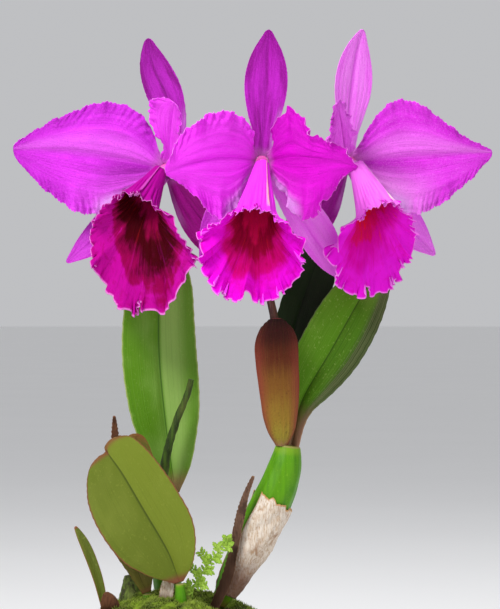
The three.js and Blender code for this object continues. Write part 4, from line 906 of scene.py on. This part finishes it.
def tepal(side, name, spec):
    """A petal or sepal."""
    spec = {**PLAIN, **spec}
    forward, right, up = bloom_axes(BLOOMS[side])
    angle, lift = math.radians(spec["clock"]), math.radians(spec["sweep"])
    outward = right * math.cos(angle) + up * math.sin(angle)
    kind, layer = (PETAL, 0) if name.startswith("petal") else (NARROW, SEPAL_LAYER)
    seat = RECEPTACLE["radius"] + GAP + TEPAL_CENTRE / 2 * math.sin(lift) - FOOT["sunk"]
    base = BLOOMS[side]["centre"] + outward * seat + forward * layer
    start = outward * math.cos(lift) + forward * math.sin(lift)
    facing = forward * math.cos(lift) - outward * math.sin(lift)
    hand = 1 if name == "dorsal_sepal" or math.cos(angle) > 0 else -1
    left, opposite = ((foot + FOOT["flare"], *rest) for foot, *rest in (spec["upper"], spec["lower"])[::hand])
    marks, across = stations(kind["points"][0], 0.3), across_blade(kind["points"][1])
    midrib = turning_midrib(base, start, facing, spec["length"], spec["curl"], hand * np.array(spec["bow"]),
                            spec["twist"], marks)
    node = f"{side}_bloom_{name}"
    margin = dict(frill=FRILLS["height"] * spec["ruffle"], frill_waves=spec["length"] / FRILLS["length"],
                  scallop=kind["lobes"] * spec["ruffle"])
    shape = {key: spec[key] for key in ("cup", "ruffle", "waves", "phase")}
    mesh = blade_mesh(node, midrib, marks, across, **TEPAL_THICKNESS, left=left, right=opposite, **shape,
                      **margin, **kind["fine"])
    add_piece(node, mesh, PETAL_SKINS.get(node, PETAL_SKINS["sepal"]))


# Points round and along a lip, the last row but one, and steps that its outline is worked out in.
LIP_POINTS = dict(round=481, along=48, before_rim=0.994, steps=120)


def lip_lines(spec, angles):
    """Radius, height and slope of a lip's lines from the tube's base to its rim, and the skirt's lengths."""
    steps = LIP_POINTS["steps"]
    under = (1 + np.cos(angles)) / 2
    notch = FRILL["notch"] * np.exp(-((angles / FRILL["notch_width"]) ** 2))
    skirt = spec["side"] + (spec["reach"] - spec["side"]) * under ** spec["narrowing"] - notch
    step = (spec["tube"] + skirt) / steps
    towards = np.where(np.cos(angles) > 0, spec["below"], spec["above"])
    opening = np.radians(spec["beside"] + (towards - spec["beside"]) * np.cos(angles) ** 2)
    cone = math.atan2(TUBE_RADIUS["mouth"] - TUBE_RADIUS["start"], spec["tube"])
    past = (np.arange(steps)[:, None] + 0.5) * step - spec["tube"]
    later = TUBE_OPENS["later_share"]
    opened = (1 - later) * smooth(-TUBE_OPENS["before"], TUBE_OPENS["past"], past)
    opened = opened + later * smooth(TUBE_OPENS["later_from"], TUBE_OPENS["later_to"], past)
    slope = cone + (opening - cone) * opened
    first = np.zeros((1, len(angles)))
    radius = TUBE_RADIUS["start"] + np.concatenate([first, np.cumsum(np.sin(slope) * step, 0)])
    height = np.concatenate([first, np.cumsum(np.cos(slope) * step, 0)])
    return radius, height, np.concatenate([first + cone, slope]), skirt


# A lip's tube is rolled: its left edge lies over its right one, beside the top. Radians from the top, and mm.
SEAM = dict(over=0.55, under=0.1, raised=0.8)
# Waves round a lip, in mm: short crimps of its rim that start at a share of the skirt, and pleats further in.
CRIMP = dict(start=0.86, least=0.6, waves=46, height=1.9, long_waves=19, long_height=0.9, reach=1.4,
             ragged_waves=23, ragged_reach=1.2, sway=1.3)
PLEATS = dict(waves=26, height=0.35, grow=(0.35, 0.6), fade=(0.75, 1))


def lip(side):
    """A lip, and the column in its tube."""
    bloom, spec = BLOOMS[side], LIPS[side]
    forward, right, up = bloom_axes(bloom)
    up = turned(up, forward, math.radians(spec["lean"]))
    pitch = math.radians(spec["pitch"])
    axis = forward * math.cos(pitch) - up * math.sin(pitch)
    below = -up * math.cos(pitch) - forward * math.sin(pitch)
    beside = np.cross(axis, below)
    base = in_bloom(bloom, TUBE_SEAT["up"], TUBE_SEAT["forward"])
    angles = np.linspace(-np.pi - SEAM["over"], np.pi - SEAM["under"], LIP_POINTS["round"])
    lines = lip_lines(spec, angles)
    skirt = lines[3]
    marks = np.concatenate([stations(LIP_POINTS["along"], 0.5), [1]])
    marks[-2] = LIP_POINTS["before_rim"]
    last = len(lines[0]) - 1
    low = np.minimum((marks * last).astype(int), last - 1)
    share = (marks * last - low)[:, None]
    radius, height, slope = (values[low] * (1 - share) + values[low + 1] * share for values in lines[:3])
    fullness = np.clip(1.6 * skirt / spec["reach"], 0.35, 1)
    mark, phase = marks[:, None], spec["phase"]

    def wave(count, amount=1, shift=1):
        return amount * np.sin(count * angles + shift * phase)

    weight = FRILL["height"] * smooth(FRILL["start"], 1, mark) * fullness
    fold = FRILL["folds"] * angles + phase + wave(3, 0.9)
    curl = CRIMP["waves"] * angles + wave(5, 3) + wave(13, 1.2, 2)
    crimp = smooth(CRIMP["start"], 1, mark) * np.maximum(fullness, CRIMP["least"]) * (0.65 + wave(7, 0.35, 3))
    pleat = PLEATS["height"] * smooth(*PLEATS["grow"], mark) * (1 - smooth(*PLEATS["fade"], mark))
    lift = weight * (np.sin(fold) + wave(1.6 * FRILL["folds"], FRILL["ripple"]))
    longer = wave(CRIMP["long_waves"], CRIMP["long_height"], 2)
    lift = lift + crimp * (CRIMP["height"] * np.sin(curl) + longer)
    lift = lift + pleat * np.sin(PLEATS["waves"] * angles + wave(4, 1.7))
    reached = CRIMP["ragged_reach"] * np.sin(CRIMP["ragged_waves"] * angles + wave(4, 1.5))
    reached = crimp * (CRIMP["reach"] * np.sin(curl + 1.3) + reached)
    sway = weight * 0.35 * FRILL["sway"] * np.sin(2 * fold) + CRIMP["sway"] * crimp * np.sin(2 * curl)
    out = radius - np.cos(slope) * lift + np.sin(slope) * reached
    out = out + SEAM["raised"] * smooth(0.3 - np.pi, -np.pi, angles)
    ahead = height + np.sin(slope) * lift + np.cos(slope) * reached
    c, s = np.cos(angles)[:, None], np.sin(angles)[:, None]
    ways = ((below * c + beside * s, out), (axis, ahead), (beside * c - below * s, sway))
    grid = base + sum(way * amount[..., None] for way, amount in ways)
    run = mark * (spec["tube"] + skirt) - spec["tube"]
    station = np.where(run < 0, run / spec["tube"], run / skirt)
    node = f"{side}_bloom_lip"
    half = 0.32 - 0.2 * smooth(0.5, 1, mark)
    add_piece(node, sheet_mesh(node, grid, half, station, angles / np.pi, 1), LIP_SKINS[side])
    end = base + axis * COLUMN["share"] * spec["tube"]
    points = [in_bloom(bloom, TUBE_SEAT["up"], RECEPTACLE["front"] + GAP), base, (base + end) / 2, end]
    fineness = dict(lengthwise=36, sides=28)
    rod_piece(f"{side}_bloom_column", COLUMN_SKIN, points, COLUMN["radii"], **fineness, lumps=0.12)


def stalk(side):
    spec = STALKS[side]
    aside = np.array(spec["side"], float)
    end = np.array((*FLOWER_STEM["route"][-1][:2], spec["height"])) + aside * (FLOWER_STEM["head"] + GAP)
    before = end + aside * STALK_END["run"] + (0, 0, STALK_END["drop"])
    front, back = (in_bloom(BLOOMS[side], 0, RECEPTACLE[key]) for key in ("front", "back"))
    points = [front, back, *spec["bends"], before, end]
    rod_piece(f"{side}_bloom_stalk", STALK_SKIN, points, STALK_RADII, lengthwise=70, sides=28, lumps=0.12,
              ribs=0.16, rib_count=6)


for bloom_side in BLOOMS:
    for tepal_name, tepal_spec in TEPALS[bloom_side].items():
        tepal(bloom_side, tepal_name, tepal_spec)
    lip(bloom_side)
    stalk(bloom_side)

# ---------------------------------------------------------------- growths: bulbs, leaves, stems, sheaths


def moss_height(x, y):
    mound = np.maximum(1 - (x * x + y * y) / MOSS["radius"] ** 2, 0) ** 0.8
    away = (x - MOSS_HOLLOW["x"]) ** 2 + (y - MOSS_HOLLOW["y"]) ** 2
    hollow = MOSS_HOLLOW["depth"] * np.exp(-away / MOSS_HOLLOW["width"] ** 2)
    across_x = np.sin(0.33 * x + 1.3 * np.sin(0.21 * y))
    across_y = np.sin(0.37 * y + 1.1 * np.sin(0.19 * x + 2))
    lumps = np.sin(0.47 * x + 0.5 + np.sin(0.3 * y)) * np.sin(0.43 * y + 1.7)
    rough = (0.65 * across_x * across_y + 0.35 * lumps) * MOSS["bump"] * np.minimum(1, 3 * mound)
    return MOSS["edge"] + (MOSS["crown"] - MOSS["edge"]) * mound - hollow + rough


# Mm that a foot goes into the pseudobulb's crown or the moss that it grows out of.
SUNK = dict(crown=1.7, moss=0.8, weed=0.5)


def crown_seat(seat, lift):
    points = BULBS["right"]["points"]
    ahead = heading(points, 1)
    lateral = unit(np.cross(ahead, (0, -1, 0)))
    across, back = seat
    foot = along(points, 1) + ahead * (lift - SUNK["crown"])
    return foot + lateral * across + np.cross(ahead, lateral) * back


def leaf(node, material, lengthwise, crosswise, centre, margin, **fine):
    shape = dict(LEAVES[node])
    points = [np.array(point, float) for point in shape.pop("points")]
    seat, facing = shape.pop("seat", None), shape.pop("facing")
    if "both" in shape:
        shape["left"] = shape["right"] = shape.pop("both")
    if seat in CROWN_SEATS:
        points = [crown_seat(CROWN_SEATS[seat], TILTED_BASE), *points]
    elif seat == "moss":
        points[0][2] = moss_height(*points[0][:2]) - SUNK["moss"]
    marks = stations(lengthwise, 0.4)
    midrib = routed_midrib(points, facing, marks)
    mesh = blade_mesh(node, midrib, marks, across_blade(crosswise), centre, margin, **shape, **fine)
    add_piece(node, mesh, material)


STRAP = dict(lengthwise=96, crosswise=32, centre=1.6, margin=0.5, groove=0.9, ragged=0.15, frill_waves=9)
YOUNG = dict(lengthwise=60, crosswise=16, centre=0.9, margin=0.4, groove=0.3)
DRY = dict(lengthwise=70, crosswise=20, centre=0.6, margin=0.3, ragged=0.35, frill_waves=13)
DRY_LEAVES = dict(dry_sheath_strip=DRY_SKIN, brown_leaf_tip=SCALE_SKIN, brown_scale=SCALE_SKIN,
                  left_papery_bract=PAPER_SKIN)
for leaf_name in ("left_leaf", "right_leaf", "back_leaf", "front_leaf", "second_leaf"):
    leaf(leaf_name, LEAF_SKINS[leaf_name], **STRAP)
leaf("young_leaf", LEAF_SKINS["young_leaf"], **YOUNG)
for leaf_name, skin in DRY_LEAVES.items():
    leaf(leaf_name, skin, **DRY)

for bulb_name, bulb in BULBS.items():
    mossy = bulb_name == "mossy"
    uneven = dict(lumps=0.5, lump=2) if mossy else dict(lumps=0.25, lump=9, ribs=0.22, rib_count=11)
    fineness = dict(lengthwise=80, sides=56) if bulb_name == "right" else dict(lengthwise=48, sides=36)
    skin = MOSSY_SKIN if mossy else BULB_SKIN
    rod_piece(f"{bulb_name}_pseudobulb", skin, **bulb, **fineness, **uneven)

rod_piece("old_flower_stem", OLD_STEM_SKIN, **OLD_STEM, lengthwise=90, sides=24, lumps=0.3, lump=2.5,
          ribs=0.12, rib_count=5)
stem_points = [crown_seat(CROWN_SEATS["stem"], TILTED_BASE), *FLOWER_STEM["route"]]
rod_piece("flower_stem", FLOWER_STEM_SKIN, stem_points, FLOWER_STEM["radii"], lengthwise=110, sides=28,
          lumps=0.15, lump=3, ribs=0.12, rib_count=6)


# The spathe and the papery sheath: points round each, thickness in mm, and rows from foot to top.
WRAP = dict(spathe_round=81, spathe_thickness=0.6, sheath_round=121, sheath_thickness=0.4)
WRAP_ROWS = np.linspace(0, 1, 73)[:, None]


def wrap(node, skin, grid, thickness, mark):
    """A sheath whose grid goes round what it wraps."""
    turn = np.linspace(-1, 1, grid.shape[1])
    add_piece(node, sheet_mesh(node, grid, thickness / 2, mark, turn, 1), skin)


def spathe():
    points = [crown_seat(CROWN_SEATS["stem"], SPATHE["foot"]), *SPATHE["route"]]
    angles = np.radians(np.linspace(-90 + SPATHE["slit"], 270 - SPATHE["slit"], WRAP["spathe_round"]))
    mark = WRAP_ROWS * (1 - SPATHE["rounding"] * np.cos(angles) ** 4)
    ahead = heading(points, mark)
    lateral = unit(np.cross(ahead, (0, -1, 0)))
    outward = lateral * (along(SPATHE["half_widths"], mark) * np.cos(angles))[..., None]
    deep = along(SPATHE["half_depths"], mark) * np.sin(angles)
    outward = outward + np.cross(lateral, ahead) * deep[..., None]
    grid = along(points, mark) + outward
    ridges = 0.18 * np.cos(19 * angles) * smooth(0, 0.2, mark)
    grid = grid + unit(outward) * (ridges + 0.3 * noise(grid, 9, SEED + 1))[..., None]
    wrap("spathe", SPATHE_SKIN, grid, WRAP["spathe_thickness"], mark)


def papery_sheath():
    points, radii = BULBS["right"].values()
    angles = np.radians(np.linspace(*SHEATH["opens_at"], WRAP["sheath_round"]))
    row = WRAP_ROWS
    tear = SHEATH["tear"] * (np.cos(angles - math.radians(SHEATH["highest"])) + np.sin(5 * angles) ** 2)
    teeth = 0.004 * np.sin(17 * angles) + 0.002 * np.sin(31 * angles + 1)
    mark = SHEATH["start"] + (SHEATH["end"] + tear + teeth - SHEATH["start"]) * row
    crumple = SHEATH["wrinkle"] * (1 + np.sin(5 * angles + 14 * row)) * (0.5 + 0.5 * row)
    wrinkles = 0.35 * noise(stacked(angles * 9, row * 30, 0), 1.6, SEED + 2)
    radius = along(radii, mark) + SHEATH["clearance"] + crumple + wrinkles
    ahead = heading(points, mark)
    lateral = unit(np.cross(ahead, (0, -1, 0)))
    direction = lateral * np.cos(angles)[:, None] + np.cross(lateral, ahead) * np.sin(angles)[:, None]
    grid = along(points, mark) + direction * radius[..., None]
    wrap("papery_sheath", PAPER_SKIN, grid, WRAP["sheath_thickness"], row)


spathe()
papery_sheath()

# ---------------------------------------------------------------- the foot: rhizome, moss, weed, bark, pot


def rhizome():
    strands = []
    for kind, radius, taper in (("runs", RHIZOME["radius"], ()), ("roots", RHIZOME["root_radius"], (0.7,))):
        radii = radius * np.array((1, 1, *taper))
        uneven = dict(lumps=0.12 * radius, lump=2.2)
        for points in RHIZOME[kind]:
            strands.append(rod_mesh("strand", points, radii, lengthwise=44, sides=18, **uneven))
    add_piece("rhizome", joined("rhizome", strands), RHIZOME_SKIN)


# The moss has lumps of (height, size), and spikes with their range of length and half-width.
TUFTS = dict(rings=80, spokes=240, lumps=((0.9, 2.2), (0.5, 0.9)), fade=3)
SPIKES = dict(count=12500, inset=0.6, sunk=0.5, lean=0.5, length=(1.4, 3.0), half_width=(0.28, 0.5))


def moss():
    rng = np.random.default_rng(SEED)
    reach, bottom = MOSS["radius"], MEDIUM_TOP + GAP
    out = reach * np.sin(np.pi / 2 * np.linspace(0.004, 1, TUFTS["rings"]))[:, None]
    angle = np.linspace(0, 2 * np.pi, TUFTS["spokes"], endpoint=False)
    grid = level_point(out, angle, 0)
    tufts = sum(height * noise(grid, size, SEED) for height, size in TUFTS["lumps"])
    grid[..., 2] = moss_height(grid[..., 0], grid[..., 1]) + tufts * smooth(reach, reach - TUFTS["fade"], out)
    ends = [(0, 0, grid[0, :, 2].mean()), (0, 0, bottom)]
    points, faces = closed_rings(np.concatenate([grid, [level_point(reach, angle, bottom)]]), ends)

    count = SPIKES["count"]
    spot_angle = rng.uniform(0, 2 * np.pi, count)
    foot = level_point((reach - SPIKES["inset"]) * np.sqrt(rng.uniform(0, 1, count)), spot_angle)
    foot[:, 2] = moss_height(foot[:, 0], foot[:, 1]) - SPIKES["sunk"]
    sideways, back = (rng.normal(0, SPIKES["lean"], count) for _ in range(2))
    tip = foot + unit(stacked(sideways, back, 1)) * rng.uniform(*SPIKES["length"], count)[:, None]
    start = rng.uniform(0, 2 * np.pi, count)
    width = rng.uniform(*SPIKES["half_width"], count)
    corners = [foot + level_point(width, start + turn) for turn in 2 * np.pi / 3 * np.arange(3)]
    first = len(points) + 4 * np.arange(count)[:, None]
    for corner in ((0, 1, 3), (1, 2, 3), (2, 0, 3), (2, 1, 0)):
        faces += (first + np.array(corner)).tolist()
    place = np.zeros((len(points) + 4 * count, 3))
    place[first + 3, 0] = 1
    points = np.concatenate([points, np.stack([*corners, tip], 1).reshape(-1, 3)])
    add_piece("moss", mesh_from("moss", points, faces, place), MOSS_SKIN)


LEAFLET = dict(length=3.2, widths=(0.25, 0.496, 0.62, 0.496, 0.3), lengthwise=10, crosswise=6)
LEAFLET_THICKNESS = dict(centre=0.3, margin=0.15)
PAIRS = dict(stem=15, twig=4)  # of leaflets
SIDE_TWIGS = 9
TWIG = dict(lengthwise=16, sides=8, lumps=0.05, lump=1)


def leaflet(foot, out):
    """A small toothed leaflet of the weed."""
    points = [foot, foot + out * LEAFLET["length"] / 2 + (0, -0.3, 0), foot + out * LEAFLET["length"]]
    marks = stations(LEAFLET["lengthwise"], 0.4)
    midrib = routed_midrib(points, (0, -1, 0), marks)
    shape = dict(left=LEAFLET["widths"], right=LEAFLET["widths"], tip=5, cup=(25, 15), end=0.1)
    return blade_mesh("leaflet", midrib, marks, across_blade(LEAFLET["crosswise"]), **LEAFLET_THICKNESS,
                      ragged=0.25, frill_waves=3, groove=0.12, **shape)


def weed():
    stem = np.array(WEED["stem"], float)
    stem[0, 2] = moss_height(*stem[0, :2]) - SUNK["weed"]
    twigs = [(stem, PAIRS["stem"]), *((spray, PAIRS["twig"]) for spray in WEED["sprays"])]
    for k, mark in enumerate(np.linspace(0.14, 0.94, SIDE_TWIGS)):
        foot, ahead = along(stem, mark), heading(stem, mark)
        out = unit(np.cross(ahead, (0, -1, 0))) * (1 if k % 2 else -1)
        end = foot + unit(out + 0.9 * ahead + (0, -0.35 * (k % 3), 0)) * (5.4 - 2.2 * mark)
        twigs.append(((foot, (foot + end) / 2 + (0, -0.2, 0.2), end), PAIRS["twig"]))
    meshes = []
    for points, pairs in twigs:
        meshes.append(rod_mesh("twig", points, (WEED["radius"], 0.7 * WEED["radius"]), **TWIG))
        for k, mark in enumerate(np.linspace(0.25, 1, pairs)):
            ahead = heading(points, mark)
            out = unit(np.cross(ahead, (0, -1, 0)))
            for hand in (-1, 1):
                swing = (0, 0.35 * math.sin(2.1 * k + hand), 0)
                towards = unit(out * hand + ahead * (0.55 + 0.2 * (k % 2)) + swing)
                meshes.append(leaflet(along(points, mark), towards))
    add_piece("weed", joined("weed", meshes), LEAF_SKINS["weed"])


TURNED = dict(pot_sides=128, medium_sides=72, hole_sides=40, wall_points=12, crease=50)


def lathe(name, profile, sides):
    """Solid turned round Z from a profile of (radius, height) that starts and ends on the axis."""
    angles = np.linspace(0, 2 * np.pi, sides, endpoint=False)
    out, z = np.array(profile[1:-1], float).T[..., None]
    ends = [(0, 0, profile[0][1]), (0, 0, profile[-1][1])]
    return mesh_from(name, *closed_rings(level_point(out, angles, z), ends, inward=True))


def inner_radius(height):
    return POT["foot"] - POT["wall"] + (POT["rim"] - POT["foot"]) * height / POT["height"]


# Chips of bark: ranges of their half sizes, of their distance from the axis and of their height.
CHIPS = dict(count=84, rings=7, sides=12, sizes=((0.9, 1.5), (1.5, 3.2), (0.8, 1.5)), out=(52.6, 54.0),
             up=(0.3, 1.2))


def bark_chips():
    """Irregular chips of bark between the moss and the pot's wall."""
    rng = np.random.default_rng(SEED + 3)
    tilt = np.linspace(-np.pi / 2, np.pi / 2, CHIPS["rings"] + 2)[1:-1, None]
    turn = np.linspace(0, 2 * np.pi, CHIPS["sides"], endpoint=False)

    def blunt(value):
        return np.sign(value) * np.abs(value) ** 0.45

    ball = stacked(blunt(np.cos(tilt)) * blunt(np.cos(turn)), blunt(np.cos(tilt)) * blunt(np.sin(turn)),
                   blunt(np.sin(tilt)))
    meshes = []
    for k in range(CHIPS["count"]):
        angle = 2 * np.pi * k / CHIPS["count"] + rng.uniform(-0.03, 0.03)
        size = [rng.uniform(*limits) for limits in CHIPS["sizes"]]
        chip = ball * size * (1 + 0.25 * noise(ball + 5 * k, 0.9, SEED)[..., None])
        chip = turned(chip, (1, 0, 0), rng.uniform(-0.5, 0.5))
        chip = chip + (rng.uniform(*CHIPS["out"]), 0, MEDIUM_TOP + rng.uniform(*CHIPS["up"]))
        chip = turned(chip, (0, 0, 1), angle)
        ends = [chip[0].mean(0), chip[-1].mean(0)]
        meshes.append(mesh_from("chip", *closed_rings(chip, ends, inward=True)))
    return meshes


def growing_medium():
    bottom = POT["floor"] + GAP
    ends = [(inner_radius(z) - GAP, z) for z in (bottom, MEDIUM_TOP)]
    body = lathe("body", [(0, bottom), *ends, (0, MEDIUM_TOP)], TURNED["medium_sides"])
    add_piece("growing_medium", joined("growing_medium", [body, *bark_chips()]), BARK)


def arc(centre, radius, start, end, count=6):
    """Points on a small rounding of a profile, between two angles in degrees."""
    turns = np.radians(np.linspace(start, end, count))
    return [(centre[0] + radius * math.cos(t), centre[1] + radius * math.sin(t)) for t in turns]


POT_HOLES = 4
DRILLED = (-9, 18)  # the height that a drain hole's drill starts and ends at


def pot():
    foot, rim, height, floor, r = (POT[key] for key in ("foot", "rim", "height", "floor", "rounding"))
    band_foot = height - POT["band"]
    outer = foot + (rim - foot) * band_foot / height - POT["step"]
    mouth = inner_radius(height)
    up_wall = np.linspace(0.02, 1, TURNED["wall_points"])
    wall = [(foot + (outer - foot) * t, r + (band_foot - r) * t) for t in up_wall]
    profile = [
        (0, 0), (foot - r - 4, 0), *arc((foot - r, r), r, -90, 0), *wall,
        *arc((rim - r, band_foot + r), r, -90, 0), (rim, height - 2 * r),
        *arc((rim - r, height - r), r, 0, 90), *arc((mouth + r / 2, height - r / 2), r / 2, 90, 180),
        (inner_radius(floor), floor), (0, floor),
    ]
    body = linked("pot_body", lathe("pot_body", profile, TURNED["pot_sides"]))
    centres = level_point(POT["hole_ring"], 2 * np.pi * (np.arange(POT_HOLES) + 0.5) / POT_HOLES)
    drill = dict(radii=(POT["hole"], POT["hole"]), lengthwise=1, sides=TURNED["hole_sides"])
    drills = [rod_mesh("drill", [spot + (0, 0, z) for z in DRILLED], **drill) for spot in centres]
    cutter = linked("pot_drills", joined("pot_drills", drills))
    cut = body.modifiers.new("holes", "BOOLEAN")
    cut.object, cut.operation, cut.solver = cutter, "DIFFERENCE", "EXACT"
    finished = bpy.data.meshes.new_from_object(body.evaluated_get(bpy.context.evaluated_depsgraph_get()))
    for scratch in (body, cutter):
        bpy.data.objects.remove(scratch)
    add_piece("pot", finished, CLAY).data.set_sharp_from_angle(angle=math.radians(TURNED["crease"]))


for build in (rhizome, moss, weed, growing_medium, pot):
    build()

# ---------------------------------------------------------------- floor, light and camera

FLOOR = dict(radius=30000, sides=96)
floor_turns = np.linspace(0, 2 * np.pi, FLOOR["sides"], endpoint=False)
floor_edge = level_point(FLOOR["radius"], floor_turns)
floor = linked("floor", mesh_from("floor", floor_edge, [range(FLOOR["sides"])]))
floor.data.materials.append(floor_material("studio_floor"))

SCALE = 0.55
VIEW_POINT = (38.5, -1400, 270.5)
FRAME_HEIGHT = 609 * SCALE
SENSOR = 36
camera = linked("camera", bpy.data.cameras.new("camera"))
camera.location = [value * MM for value in VIEW_POINT]
camera.rotation_euler = (math.radians(90), 0, 0)
camera.data.sensor_width = SENSOR
camera.data.lens = SENSOR * -VIEW_POINT[1] / FRAME_HEIGHT
camera.data.clip_start, camera.data.clip_end = 0.05, 100
bpy.context.scene.camera = camera

AIM = Vector((0.045, -0.01, 0.27))
for lamp_name, spot, size, power in (
    ("key", (-0.55, -0.85, 1.2), 0.5, 18),
    ("fill", (1.2, -1.1, 0.55), 1.0, 3),
    ("rim", (0.3, 0.7, 1.5), 0.7, 7),
):
    lamp = linked(lamp_name, bpy.data.lights.new(lamp_name, "AREA"))
    lamp.data.size, lamp.data.energy = size, power
    lamp.location = spot
    lamp.rotation_euler = (AIM - Vector(spot)).to_track_quat("-Z", "Y").to_euler()

world = bpy.data.worlds.new("studio")
world.use_nodes = True
background = world.node_tree.nodes["Background"]
background.inputs["Color"].default_value = tone(236, 237, 240)
background.inputs["Strength"].default_value = 0.62
bpy.context.scene.world = world
bpy.context.scene.view_settings.view_transform = "Standard"
